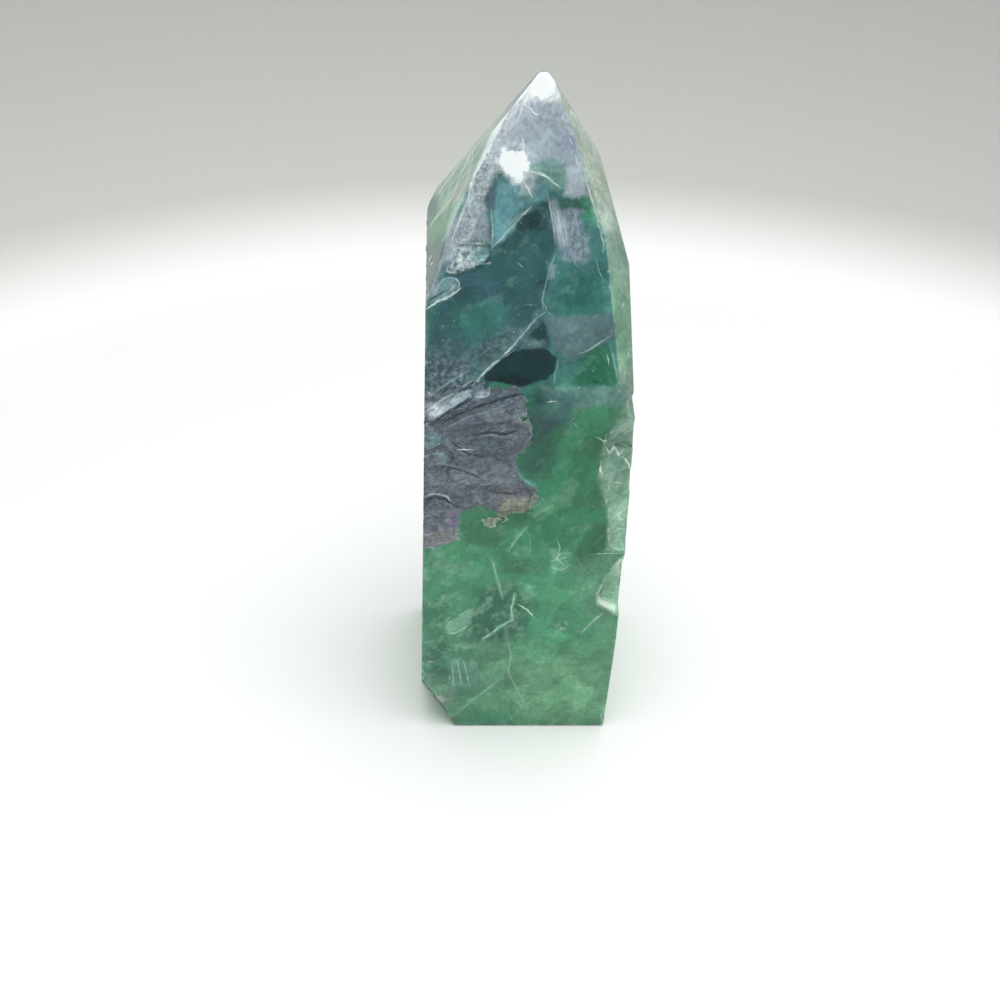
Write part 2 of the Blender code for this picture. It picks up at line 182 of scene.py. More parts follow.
# White patches and near-black ones, with sharp borders. The white ones are partly chalky frosting and partly
# painted glints, where the tip and a fracture catch the light.
WHITE_PATCHES_AND_GLINTS = [
    ("front", points("""2.4,95.4 4.9,95.4 4.7,93.2 4.5,92.6 3.9,92.2 3.3,92.3 2.6,91.9 2.1,92.2
                        1.7,92.8 1.5,93.6""")),
    ("front", points("""-1.6,86.8 -0.9,86.5 0.1,86.6 0.8,86.4 1.2,85.6 1.7,84.7 1.4,84.3 0.9,83.8 0.9,83.2
                        0.5,82.9 0.1,83.4 -0.6,83.7 -1.2,84.3 -2,84.7 -2.5,84.9 -2.1,85.9""")),
    ("front", points("-10.9,57.4 -10.3,57.3 -10.2,56.8 -10.8,56.7")),
]
DARKS = [
    ("front", points("""-3.3,62.2 -1.7,63.1 -0.4,63.8 1.3,64 3.6,64.3 5.1,63.3 5,61.7 4.3,60.8 1.3,59.8
                        -1.2,60 -4.3,60.5""")),
]

ZONES = [
    # the growth zones that run through the whole stone, foot to tip
    *stains("around", """
        #77BA92 0.8 9 2  -30,-9 30,-9 30,15 -30,21
        #3F8868 0.8 8 2.5  -3,32 30,29 30,60 -3,58
        #4B8284 0.95 3.5 1.5 0.55  -30,58 30,60 30,90 -30,88
        #ABB8C5 0.95 3 1.2 0.35 frost  -30,84.6 30,84.6 30,110 -30,110"""),
    # the right side and its narrow facets: pale sage above, greener below
    *stains("right", """
        #9EBBA7 0.9 5 1.5 0.5  -20,40 20,40 20,80 -20,76
        #C3D0C2 0.9 4 1 0.4  -20,76 20,80 20,96 -20,96
        #78B391 0.6 4 1  -20,62 -6,64 -8,74 -20,74"""),
    # the left side: green with white streaks on its upper facets, pinkish grey below them
    *stains("left", """
        #BAEFD0 0.9 2 1 0.45 streaks  -20,75.5 20,77 20,90 -20,90
        #80919A 0.85 3 1 0.4  -20,62 20,66 20,74.6 -20,73.6
        #83C396 0.8 1.6 1 0.5  -4,78.6 6,78 9,73.8 4,72.8 -2,75"""),
    # bands that cross the sides and the back
    *stains("back", """
        #6F7C8C 0.6 2 1.2 frost  -18,48 18,53 18,57 -18,54"""),
    *stains("left", """
        #6C7A8A 0.55 2 1.2 frost  -18,52 18,48 18,52.5 -18,57"""),
    *stains("right", """
        #7FA9A6 0.5 2.5 1.2 wisps  -18,46 18,50 18,55 -18,52"""),
    *stains("back", """
        #7FBE9C 0.5 3 1.5 wisps  -18,22 18,17 18,23 -18,29"""),
    *stains("left", """
        #7FBE9C 0.5 3 1.5 wisps  -18,12 18,20 18,27 -18,18"""),
    *stains("right", """
        #8FCBA6 0.5 3 1.5 wisps  -18,20 18,14 18,20 -18,27"""),
    *stains("back", """
        #2C6A64 0.5 2 1  -18,67 18,71 18,74 -18,71"""),
    # front, green body
    *stains("front", """
        #318461 0.9 5 1 0.42  0.6,53.9 3,57 13,57 11.1,45 12.2,32.8 6,31 0.8,36 -4,38.5 1.5,43
        #2F7368 0.7 2.5 0.8 0.42  1.4,56.6 4.6,55.6 4.2,49 2.4,45.6 0.2,48.6 1.6,52
        #499D7A 0.6 5 1 0.45  -6,37 4,33 11,28 12,18 2,17 -4,20
        #498C72 0.8 5 1.5 0.42 wisps  -15,33 -7,33.5 -5,26 -5,12 -8,4 -14,8
        #5DB086 0.5 4 1 0.5  4,29.3 11.2,28.5 11.7,17.8 4.2,17.8
        #82C99A 0.9 4 1 0.42  0.4,13 8,14.4 13.9,13.4 14.3,2 2.5,1.5 0.6,6
        #5CAD8A 0.9 0.7 0.3 0.5  -9.1,-1 -6.5,4.4 -3.7,3.1 -0.8,2.9 0.3,-1
        #8FBFA6 0.6 1.6 0.5  -14.5,11.5 -10.8,10.6 -9.4,7.6 -8.6,4.8 -10.2,3.2 -14.5,6
        #8FC7AB 0.6 0.5 0.3 0.3 frost  -10.3,19.7 -9.6,21.3 -7.9,22.8 -6.2,23.9 -5.9,22.8
            -6.4,21.1 -7.5,20.1 -8.8,19.2 -10.1,19.3
        #8CC4AE 0.45 0.8 0.4 0.35  -10,9.4 -9.8,13.4 -8.4,14.3 -5.4,13.8 -4.8,10.2 -6.6,7.9
            -9.2,8.8
        #417F68 0.4 1.2 0.3  -8.7,8.4 -5,11 -4.7,6.3 -8.3,6.3
        #86C6B4 0.5 0.8 0.4 0.35 wisps  -11.4,33.2 -10.1,34.2 -9.7,32.6 -11.1,32
        #72B492 0.5 0.4 0.2  -0.3,35.3 2.1,35.1 2.3,33.5 0,33.3
        #3B7F5E 0.55 0.8 0.3  -2.9,32.8 3.9,33 3.5,30.2 -1.9,30.6
        #7CC8A6 0.5 0.6 0.5 0.35 wisps  0,28.9 3,28.5 3,25.4 0.2,25
        #8FC8AA 0.5 0.9 0.6 0.35 wisps  4.8,34.2 7.9,34.4 8.1,31 5.2,30.8
        #76B48F 0.4 1 0.7 0.4 wisps  2.1,41.8 5.5,43.6 7.9,46.4 8.8,44.6 6.2,41.4 3.7,40.1
        #3B7A5C 0.6 0.4 0.2  8.3,34.1 14.9,33.7 12.1,30.1 11.5,29.7 9.9,31.4
        #2F6B4F 0.7 0.6 0.3  -3.2,40.6 1.8,40.5 1.2,39.4 -1.3,38.6 -5.4,38.4
        #C9BDB8 0.8 0.4 0.15 0.2 frost  -12.1,6.3 -11.3,6.5 -10.4,5.6 -11.1,5.1
        #39795E 0.7 1.2 0.5  -7.9,41.2 -4.9,42.4 -3.5,41.8 -1.3,40.8 2,40 -1,36.2 -7.4,35.2"""),
    # the two long breaks on the right, paler where the stone is thin
    *stains("front", """
        #729F8A 0.8 0.6 0.3 0.35 wisps  14,57 12.4,53.6 11.4,50 11.3,46 12.4,41.6 17,40 17,57
        #AEDBC0 0.6 1 0.3 0.4  12.8,42 12.9,34.4 17,34 17,42
        #BFDCC8 0.85 0.4 0.2 0.35  15.3,33.6 12.5,28.7 11.9,26.4 12.1,24.8 15.1,22.6 17,22
            17,33.6
        #74B091 0.6 2 0.6 0.45  8.5,32 14,34.5 15.5,26 15.5,12 12.5,20 8.5,25
        #31705A 0.9 3 1 wisps  -5,27.5 1.6,28 1,17 -6,17.5"""),
    # front, teal zone above the bend
    *stains("front", """
        #355262 0.9 1.2 0.5 0.5  -12,55 -10.9,68.6 -7.6,70.5 -7.9,73 -4,74 -3.2,75.5 1.2,80.1
            4.1,81.5 4.6,76.8 3.9,71.9 4.2,67.6 4.2,60 -4,60
        #325F63 0.85 1.4 0.5 0.6  1.2,79.6 3.9,81 4.5,76.8 4.6,75 3.7,71.9 2.6,69.8 -1,70.2
            -4.8,72.6 -3.2,75.2
        #3C7C79 0.8 2.6 0.6 0.6  -8,68.6 -4.2,70.2 -1,69 -1.4,65.9 -4.6,64.2 -7.4,65.2
        #6A8590 0.5 1.4 0.6 specks  -11.3,63.9 -5,64.4 -1.8,65.8 1.5,66.6 -0.7,64.4 -5.5,60.2
            -11.4,59.5
        #596475 0.75 1 0.5 0.2 specks  -11.9,62.3 -5.8,62.9 -6,60.2 -9.4,57.6 -12.2,57.6
        #337873 0.9 1.8 0.6 0.55  5.7,73 11,73.4 11.4,67.9 5.2,67.6
        #2D6A60 0.5 0.8 0.5  6,70.4 11.2,70.9 11.3,69.6 6.2,69.2
        #637A84 0.85 0.9 0.6 0.3  4.1,67.9 12.3,68.6 12.5,65.6 7.6,63.2 4.8,63.6
        #17363B 0.85 0.3 0.1 0.5  1.5,65.8 3.6,67.3 4.3,65.6 3.9,65.2 2.8,65.3
        #6A898C 0.6 0.4 0.2 frost  1.5,65.3 3.7,65.1 3,64.3 1.6,64.4
        #2D745B 0.9 0.8 0.3 0.55  9.3,64.6 11.6,65 13.3,60.2 7.4,59.9
        #719799 0.8 1 0.3 0.35  3.4,59.8 14.6,60 14.6,57.2 3.4,57.4
        #3A6870 0.85 2.4 0.6 0.5  1.6,58.9 7.4,58.3 7.6,55 4.4,54 2.2,53 2,57"""),
    # front, towards the tip
    *stains("front", """
        #6A9EA8 0.9 0.8 0.4 0.35  -2.1,83 0.4,82.2 4.1,83.4 4.1,81.5 1.2,80.1 -3.2,75.5 -2.9,79
        #54687A 0.9 0.5 0.2 0.3  -3.4,83.2 -2.3,82 -2.6,80 -3.4,79.4 -4.4,81
        #8B95A5 0.85 0.9 0.4 0.25 frost  -4.9,80 -3.9,80.8 -3.4,78.6 -3,76.4 -3.2,75.6 -6.6,76.2
            -5.9,78
        #A0AEBE 0.95 0.6 0.3 0.3 frost  -3.6,86.6 -1,91.5 0.4,92.2 6.3,91.6 8.2,85.1 4.1,84.9
            1,85.4 -2.6,84.4
        #8F95AC 0.5 2 0.6  4.6,89.6 7.2,88.8 8.2,85.2 4.4,85
        #A9B1C0 0.7 1 0.3 0.25 streaks  0.9,93.4 -1.4,91.2 -3.4,87.6 -6.4,81 -9.4,74.2 -8,73.6
            -5.6,77 -3.9,81 -2.2,84.4 -1.2,87.2 0.6,90.4 2.2,92.2
        #D4DDE6 0.8 0.8 0.3 0.2 streaks  -0.5,91.6 0.5,93.4 2.1,96 4.7,96 5.7,92.3 3.5,91.6
        #BFCAD6 0.7 1.2 0.5 0.2 frost  -2.4,87.4 1.6,87.2 2.4,84 2.2,81.8 1.4,81.6 0.4,82.6
            -3,84.6
        #82ADA8 0.9 0.6 0.4 0.45  1.9,84.9 3.6,85.4 6.3,85.4 6.2,82.4 4.6,82 3.2,83.4
        #B8C3D2 0.9 0.8 0.45 0.25 frost  6.1,85.1 8.2,85.1 8.8,81.6 6.1,81.3
        #4C9A7C 0.85 0.6 0.4 0.4  7.6,81.6 10,81.4 10.6,78.2 8.5,78.8
        #3E6E60 0.85 0.5 0.25 0.4  5.5,81.1 8.4,81.2 8.2,79.9 5.6,80
        #6F8193 0.9 0.9 0.6 0.25 frost  4.3,79.8 8.2,79.9 9.4,76.8 9.8,74.6 6.6,74.4 4.8,76.2
        #B9C1CF 0.6 0.6 0.3  4.3,81.1 5,81.2 6.1,79.3 6.9,76.2 5.3,75.9 4.7,77.8
        #7F97A3 0.7 0.3 0.2 0.3 frost  4.3,73.8 5.1,73.9 4.9,72.5 4.2,72.1
        #7699A0 1 0.2 0.05 0.2  -7.4,75.9 -3.3,76 -3.2,75.1 -4,73.95 -7.7,72.7 -8.8,72.8
            -7.95,74.3
        #A2B4BB 1 0.6 0.3 0.2 specks  -7.5,75.9 -5.4,75.4 -6.2,73.2 -7.7,72.7 -8.8,72.8
            -7.95,74.3
        #8E95A4 0.85 1.2 0.4 0.3 frost  -12,69.2 -10.8,70 -9.2,73.2 -8,75.4 -6.6,77.4 -7.8,79.6
            -11.4,71.6
        #B3BCCA 0.6 0.5 0.3  -5.6,80.8 -4.6,79.8 -3.6,78 -5.6,78.7 -5.9,79.6
        #748F98 0.6 0.5 0.2 0.3 frost  -11.3,69 -10.2,71 -9.3,71.9 -7.5,72 -7.1,71 -9,69.7"""),
]

# Stains on the natural faces alone.
GROUND_ZONES = [
    *stains("front", """
        #505E6C 0.7 1.5 0.8  -12.5,59.6 -3,60.4 1.6,59.8 1,57.5 -4,56.6 -9,54.5
        #515E6A 0.7 1.5 0.8  -6.4,53.1 -0.1,52.8 -0.1,50.2 -5.9,49.6
        #434F5A 0.6 1 0.6  -9.2,53.2 -6.8,54.8 -4,54.8 -6.6,52.2
        #84929A 0.4 1.6 0.8  -12,47.6 -6,47.4 -1,48.2 1.5,45.5 -2,44.9 -8,45.4 -12,45.4
        #8C9EA3 0.7 0.8 0.4  -0.2,56.9 2.2,56.6 2.1,54.1 0.8,54.4
        #7D8B93 0.6 1.2 0.6  -4.6,56.4 -0.4,57.2 0.4,55.6 -4,54.9
        #9EB2BA 0.95 0.3 0.25  -10.2,57.8 -6,59.1 -6,58.2 -9.6,56.2 -10.7,55.3 -11.4,55.3
            -10.8,57
        #85989F 0.8 0.3 0.2  -5.6,58.9 -3.5,59.4 -3.4,58.5 -5.2,58.1
        #7CA7AE 0.7 1 0.6  -11.9,53.3 -9.5,53.4 -9.3,51.5 -10.4,50.7 -12,51.1
        #7A9A9F 0.7 0.6 0.4  -10.7,50.3 -9.2,50.2 -9.2,48.6 -10.7,48.7
        #5F6775 0.6 1.5 0.8  -13.5,45.4 -9,45 -8,42 -12,40.6 -13.5,41
        #605E5A 0.6 0.6 0.5  -2.8,44.7 -1.3,44.6 1.2,44.6 -1.3,43.5 -2.8,43.6
        #878D7F 0.95 0.7 0.5  -2.9,42.4 -0.4,42.8 2.9,43.4 3.6,41.6 1.8,40.2 -1.5,39.8
        #94A792 0.9 0.5 0.3  -5.4,40.4 -1,40.4 -1.4,38.8 -4.6,37.8
        #8E829D 0.7 1.4 0.6  -9.8,41.1 -7.8,41.5 -7.8,38.8 -9.8,38.7
        #888C90 0.8 1 0.5  -14,38 -7.5,38.3 -7.5,35.5 -14,34.4"""),
    *stains("left", """
        #7C9A96 1 1 0.3  -6,20 -6,56 18,56 18,20"""),
    *stains("right", """
        #83A394 1 1 0.3  -9,16 -9,46 18,46 18,16"""),
    *stains("back", """
        #6E9688 1 1 0.3  -18,20 -18,56 18,56 18,20"""),
    *stains("left", """
        #93A8A8 0.6 1.6 0.6  3,46.6 8.4,47.4 7.6,43.8 3.4,42.8
        #56716C 0.6 1.4 0.6  3,41.8 7.4,42.6 6.4,38.6 3.4,39"""),
    *stains("right", """
        #8CA197 0.7 1.8 0.6  -3,40 4,38.8 4.6,34.8 -1.6,33.4
        #5B7A6C 0.6 1.6 0.6  0.4,33 5.4,33.6 7.6,28.6 1.6,28.2"""),
    *stains("back", """
        #8CA9A0 0.6 2 0.8  -5.4,45.4 5,46.4 6.6,42.6 -5,41.8
        #4C6C64 0.6 1.8 0.8  -4.6,42.4 1.4,42.8 1.8,38.6 -3.4,38.2
        #9B9B8B 0.8 1.2 0.5  -4.6,33.6 1.2,33.8 0.2,28.6 -3.6,28.8"""),
]

VEINS = [
    # soft bands inside the stone
    *veins("front", """
        #6F9098 0.55 1 1.1 0.4 0.35  3.4,68.2 1,65.9 -0.8,64.4 -2.3,62.9 -3.9,61.9 -5.4,60.2
        #8FB0B6 0.6 0.4 0.5 0.2 0.3  1.8,80.2 0.2,78.8 -1.5,77 -2.9,75.7
        #2B5055 0.6 0.4 0.5 0.2 0.5  -3.3,79 -3.1,76.4
        #23494F 0.7 0.4 0.4 0.1 0.5  -3.5,74 -4.1,73.5 -6.3,72.8 -8.6,72.2
        #7DB598 0.6 0.45 0.6 0.2 0.4  1.6,38.4 0.4,36.5 -0.3,35.5 -0.8,34.3
        #8AC2A2 0.55 0.5 0.6 0.2 0.4  -3.2,32.7 -2.5,29.7 -1.7,25.9
        #8ECBAE 0.6 0.5 0.6 0.3 0.3  -4.4,18.2 -2.2,20.4 -0.2,21.8 -0.4,23.9 0.1,26.5
        #7DB89B 0.55 0.6 0.7 0.3 0.4  -0.9,17.8 -0.4,14.9 -0.8,11.5 0.3,8.6 1.6,5.3 2.4,3.5
        #84BD9F 0.6 0.7 0.6 0.3 0.4  -1.7,10.5 -4.7,7.3 -7.4,4.4 -9.6,1.9
        #8CC7A3 0.6 0.5 0.6 0.3 0.4  2.6,40.2 3.6,40.9 4.9,41.8
        #9CCDB3 0.65 0.55 0.5 0.1 0.35  10.1,19.3 11.8,21.7 13.2,23.1
        #5FB8AE 0.8 0.5 0.6 0.2 0.5  0.2,47.6 1.2,46.6 2.6,45.3
        #D5EFE2 0.8 0.5 0.3 0.1 0.2  12.3,25.9 12.4,25 13.7,24.1 14.9,23.3
        #A9CBBF 0.5 0.5 0.8 0.2 0.3  5.2,92.6 6.9,89.6 8.1,86 9.2,82 10.4,78.6"""),
    *veins("left", """
        #D8EFE2 0.6 0.5 0.8 0.4 0.3  4.1,85.2 2.9,81.7 1.4,79.4 3.9,76.9 6.9,74.3
        #D8EFE2 0.5 0.4 0.7 0.4 0.3  7.4,84 6.4,82.4 8.1,79.8 10.8,77"""),
]

PALE_CRACKS = [
    # bruises and scratches along the ridge on the right of the front
    *cracks("front", """
        #EAF1F4 0.9 0.28  5,93.5 6,91.9 6.8,90.7 7.4,89.2 8,87.2 8.2,85.9
        #D3E2E0 0.8 0.2  8.2,85.1 9,82.5 9.8,80.3 10.3,78.9
        #CFE2DA 0.7 0.18  10.3,78.6 11,76.2 11,75.3
        #BFD9CF 0.7 0.18  10.1,74.6 10.5,73.2 11,72.4
        #E9F6F0 0.9 0.3  11.7,63.6 11.9,62.7
        #86BCA6 0.7 0.2  12,64.9 12.7,62.3 13.3,60.2
        #F6FAFB 0.9 0.24  6.6,87.9 6.9,87.3
        #F6FAFB 0.9 0.24  7.4,85.9 7.6,85.1
        #F6FAFB 0.9 0.3  5.7,90.2 5.9,89.8
        #F6FAFB 0.9 0.3  1.5,91.2 1.9,90.9
        #F6FAFB 0.9 0.4  2,90.7 2.5,90.4
        #F6FAFB 0.9 0.3  10.5,78.2 10.8,77.7"""),
    # streaks that run down from the tip on the left
    *cracks("front", """
        #F0F5F8 0.9 0.36  2.1,94.1 1,92.8 0,91.5 -0.8,90.1 -1.2,89.2
        #F0F5F8 0.9 0.34  1.7,93.7 0.1,91.8 -1.4,90.2 -3,88.2
        #E6ECF2 0.8 0.2  1,92.2 0,91 -0.4,90
        #F0F5F8 0.9 0.36  -1.6,89.9 -3.2,87.2 -4.2,85.4 -4.8,84.2
        #F0F5F8 0.9 0.42  -2.9,88.4 -4,86.4 -4.8,84.8 -5.6,82.8 -6.1,81
        #E6ECF2 0.7 0.2  -1.3,90.1 -2.4,88.4 -3.2,86.9 -3.7,85.5
        #F0F5F8 0.8 0.28  2.4,93.6 1.4,92.4 0.7,91.2 0.3,90.1
        #E6ECF2 0.7 0.18  -1.9,89.2 -2.6,88.1 -3.1,86.8
        #D4DAE4 0.6 0.16  -0.4,90.9 -1,89.7 -1.6,88.5
        #C6CEDA 0.7 0.22  -5.3,82.9 -5.6,81.5 -6,79.6 -5.4,78.6
        #DCE3EA 0.7 0.2  -6.4,80.6 -7.4,78.2 -8.4,75.8
        #DCE3EA 0.6 0.16  -5.6,81.6 -6.8,79.4 -7.6,77.2
        #EEF3F7 0.8 0.2  0.6,88.2 0.9,87.2 0.8,86.2"""),
    *cracks("left", """
        #EAF6F0 0.9 0.35  4.1,85.6 2.9,81.7 1.4,79.4 3.9,76.9 6.9,74.3
        #EAF6F0 0.9 0.3  7.2,84.6 6.4,82.9 8.1,79.8 10.8,77
        #DDF0E6 0.8 0.28  4.3,87.4 4.1,85.4 1.1,84.3 -1.6,82.6 -1.3,80.8 -1.1,78.8
        #DDF0E6 0.8 0.26  9.8,81.6 10.5,79.5 11.5,77.6
        #DDF0E6 0.8 0.3  4.5,78.5 5.3,76.5 6.6,74.5 5.5,73.7
        #DDF0E6 0.8 0.3  2.8,73.9 1.4,73
        #DDF0E6 0.8 0.26  2.5,84.7 1.1,82.9 1.3,80.6 2.2,78.6"""),
    # healed cracks round the dark panel, the curled crack and the veils below it
    *cracks("front", """
        #A5C2C7 0.8 0.3  1.8,80.2 0.2,78.8 -1.5,77 -2.9,75.7
        #A8C4C8 0.5 0.16  0.9,79.9 -0.5,78.6 -1.8,77.2
        #A3B9C2 0.8 0.2  4,81.6 4.3,79.8 4.7,78.1 4.9,76.2
        #8FA8B2 0.8 0.2  5.2,75.4 4.3,73.6 3.8,71.7 3.3,69.8 3.6,68.4
        #B3C0CC 0.75 0.22  -3.2,79.8 -3,77.7 -3.1,75.8
        #E9F1F4 0.95 0.3  -11.6,68.3 -11,68.7 -9.9,69.4 -8.8,69.8 -7.7,70.4 -7.1,70.9
        #BDCFD6 0.75 0.18  -9.4,71.8 -8.5,72.1 -7.6,71.9 -7.2,71.2 -7.6,70.6
        #BDCFD6 0.7 0.16  -10.7,69.9 -9.9,71.1 -9.3,71.8
        #9DB5BD 0.75 0.24  3.9,68.5 2.6,67.7 1.5,66.5 0.1,65 -1,63.9
        #C0D2D8 0.85 0.26  -0.1,64.7 -1.8,63.1 -3.4,61.9 -4.6,60.7 -5.6,59.6
        #A5BBC2 0.6 0.16  -0.3,63.9 -2.4,62.5 -4.1,61
        #A5BBC2 0.6 0.16  -4.6,63.2 -3.4,64.1 -1.8,64.6
        #9DB3BC 0.6 0.2  -6,61.4 -8.6,60 -10.4,58.9
        #95AFB3 0.75 0.24  5.3,62.9 5.4,62.3 5,61.3 4.9,60.1
        #AFC4C9 0.7 0.22  7.6,63.6 9.3,64.2 10.9,65.2 11.9,65.9
        #7FA9A6 0.6 0.2  1.1,69.2 2.6,69.2
        #BFDCDC 0.8 0.22  0.3,73.9 0.8,73.5
        #A5C2C2 0.7 0.16  3.4,69.7 4,68.5 4.8,68
        #DDEFEA 0.9 0.32  1.7,84.2 2.6,84 3.6,83.8 4.4,83.2 5.3,82.6
        #DDE5EC 0.8 0.4  0.8,83.3 1.4,82.3 1.9,81.5
        #C9D0DB 0.7 0.3  5.2,79.8 5.5,77.8 6.1,76.2
        #E4E9F0 0.8 0.2  6.1,78.2 6.4,76.7
        #B5BFCE 0.6 0.24  7.4,79.6 7.8,77.7
        #A5CACA 0.6 0.2  7.1,74.8 7.5,74 8,73.5
        #A5CACA 0.6 0.18  7.8,74.6 8.2,73.6"""),
    # green body: feathers, zigzags and long healed cracks
    *cracks("front", """
        #A9D8BE 0.7 0.2  -3.2,32.7 -2.5,29.7 -1.7,25.9
        #A5D6BC 0.75 0.2  1.6,38.4 0.4,36.5 -0.3,35.5 -0.8,34.3
        #8CC7A6 0.45 0.14  1.6,38.4 2.1,36.9 2.3,34.2
        #8CC7A6 0.5 0.16  -0.8,34.3 1,33.4 2.3,33.6
        #D8F4E6 0.95 0.3  0.5,24.8 1.8,23.8 3,22.3
        #B9E6CF 0.85 0.28  0.1,26.7 -0.4,23.9 -0.2,21.8 -2.2,20.4 -4.6,18
        #A5D9BE 0.7 0.2  -0.2,21.8 0.5,20.7
        #A5D3B9 0.6 0.2  -0.9,17.8 -0.4,14.9 -0.8,11.5 0.3,8.6 1.6,5.3 2.4,3.5
        #A5D3B9 0.6 0.18  -1.7,10.5 -4.7,7.3 -7.4,4.4 -9.6,1.9
        #94C9AB 0.5 0.2  -0.9,3.2 0.2,0.4
        #B5DFC9 0.7 0.18  10.1,19.3 11.8,21.7 13.2,23.1
        #B2D9C1 0.8 0.2  10.6,33.8 15.2,34
        #94C9AB 0.4 0.14  8.4,34 9.7,31.4 11.5,29.5
        #C5EAD7 0.8 0.2  -10.1,19.3 -8.8,19.2 -7.5,20.1 -6.4,21.1
        #B5DFC9 0.6 0.14  -10.3,19.7 -9.6,21.3 -7.9,22.8 -6.2,23.9
        #A5D6BF 0.65 0.18  -10.6,21.1 -9.1,22.6
        #B2DDCB 0.7 0.22  -9.2,8.7 -9.4,12.8
        #B2DDCB 0.7 0.22  -8,9.1 -8.6,14.1
        #B2DDCB 0.7 0.22  -6.7,8.2 -7.6,13.8
        #B2DDCB 0.5 0.18  -10,9.1 -9.6,11.5
        #D8F2E4 0.9 0.3  6.4,33.8 6,33 6.9,32.1
        #C5E8D6 0.6 0.2  5.2,32.6 6.5,33 8.1,33.4
        #B5DFC9 0.6 0.24  5.9,36.5 6.4,35 6.2,33.8
        #B5DFC9 0.6 0.2  5.2,31.4 6.8,31 8.1,32
        #B5DFC9 0.6 0.18  3.7,43.3 4.2,42.3
        #B5DFC9 0.6 0.18  5,40.9 5.4,41.5
        #D6EAE4 0.95 0.3  4,58 5,58.1
        #B5DCCB 0.7 0.3  7.1,55.3 7.6,55.6
        #B5DCCB 0.7 0.24  7.6,54.9 8,54.4
        #B5DFC9 0.6 0.2  0.2,5.7 1.3,4.4 2.1,3.6
        #94C9AB 0.35 0.14  4.3,13.5 7.1,13.8 9.1,13.5
        #BFE2D3 0.7 0.3  -13,10.9 -12.2,11
        #E2F4EA 0.9 0.3  6.7,20.9 6.9,20.6
        #E2F4EA 0.8 0.3  7.4,20.2 7.7,20"""),
    # the breaks on the right: white steps where flakes lifted
    *cracks("front", """
        #CFE8DA 0.8 0.2  10.6,52.9 11.8,52.2 11.9,53.3
        #F0FAF4 0.95 0.3  12.1,51.1 12.7,50 13.2,50.9 14,49.2 14.5,49.8
        #F0FAF4 0.9 0.26  11.5,49 11.4,47.7 11.9,46.9
        #F0FAF4 0.95 0.3  14.7,48.5 15.6,47.1 15.9,46
        #E8F6EE 0.9 0.24  13.7,44.9 14.8,44.3
        #F0FAF4 0.9 0.28  13.6,39.8 14.6,40.1 15.4,40.7
        #E8F6EE 0.85 0.24  14.1,40.3 14.9,38.9 15.6,39.4
        #E8F6EE 0.85 0.24  13.6,37.5 14.8,37.7 15.7,37.1
        #D8EFE2 0.85 0.22  15.4,32.1 14.6,29.6 12.8,28 11.9,26.5"""),
    # rims on the natural ground
    *cracks("front", """
        #B3C0CA 0.8 0.24  -11.4,55.3 -10.6,57.2 -9.3,58.1 -5.9,59
        #C3CDD5 0.7 0.2  -5.6,58.5 -4.6,58.3 -3.5,58.6 -3.4,59.3
        #98A3B0 0.6 0.22  -9.4,54 -6.4,55.6 -3.4,56.5 -0.5,57.8
        #A9B3BE 0.7 0.22  0,56.9 0.4,55.9 0.8,54.6 1.6,55.6 2,54.6
        #DCE4EA 0.95 0.26  -7.7,50.8 -6.7,50.9 -5.7,50.8
        #A9B4BE 0.7 0.2  -8.3,50.2 -7.4,49.3 -6.4,48.5
        #8F9AA7 0.6 0.22  -6.3,52.4 -3.4,53 -1,52.5
        #CBD4DA 0.9 0.26  -12.6,43.3 -11,43.9 -9.7,43.6 -8.5,42.5
        #949EAB 0.6 0.2  -11.7,48.4 -9.8,48.7 -7.3,48 -4.4,46.7
        #9FB0B5 0.7 0.24  -0.4,48.3 0.8,46.6 2.4,45.2 3.3,44.4
        #96AAB3 0.7 0.22  -11.6,50 -10.4,50.2 -9.2,49.5
        #EEF3F6 0.95 0.3  -10.9,56.3 -10.6,55.9
        #D8E0E5 0.9 0.26  -6,44.5 -5.7,44.3
        #D8E0E5 0.8 0.24  -5,42.7 -4.7,42.5
        #DCE4E6 0.9 0.3  -12,35.1 -11.4,34.7
        #EEF3F6 0.9 0.26  -11.5,58.7 -11.1,58.5"""),
    # healed cracks on the other sides
    *cracks("left", """
        #A9D6C0 0.7 0.25  -13,30 -8,26.5 -2,25 3,20 4,14 9,9
        #9CCBB4 0.6 0.2  -2,25 -4,18 -9,12 -10,5
        #A9C4CC 0.7 0.25  -12,66 -6,62 0,61 6,56 13,54
        #A9C4CC 0.6 0.2  0,61 1,55 -3,51"""),
    *cracks("right", """
        #B5DFC9 0.7 0.25  -10,10 -5,14 0,15 5,20 12,21
        #A9D6C0 0.6 0.2  0,15 2,8 8,4
        #B9CFC6 0.6 0.22  -8,60 -2,57 4,58 9,52 13,50"""),
    *cracks("back", """
        #A9D6C0 0.7 0.26  -13,20 -8,22 -3,19 2,21 8,14 13,12
        #9CCBB4 0.6 0.2  -3,19 -5,11 -2,4
        #A9C4CC 0.7 0.26  -12,62 -6,60 -1,63 6,60 12,61
        #A9C4CC 0.6 0.2  -1,63 1,69 6,76 4,84"""),
    # the white step under the lower break
    *cracks("front", """
        #E4F5EC 0.95 0.6  12.4,25.7 12.8,25 13.7,24.3 14.9,23.5"""),
]

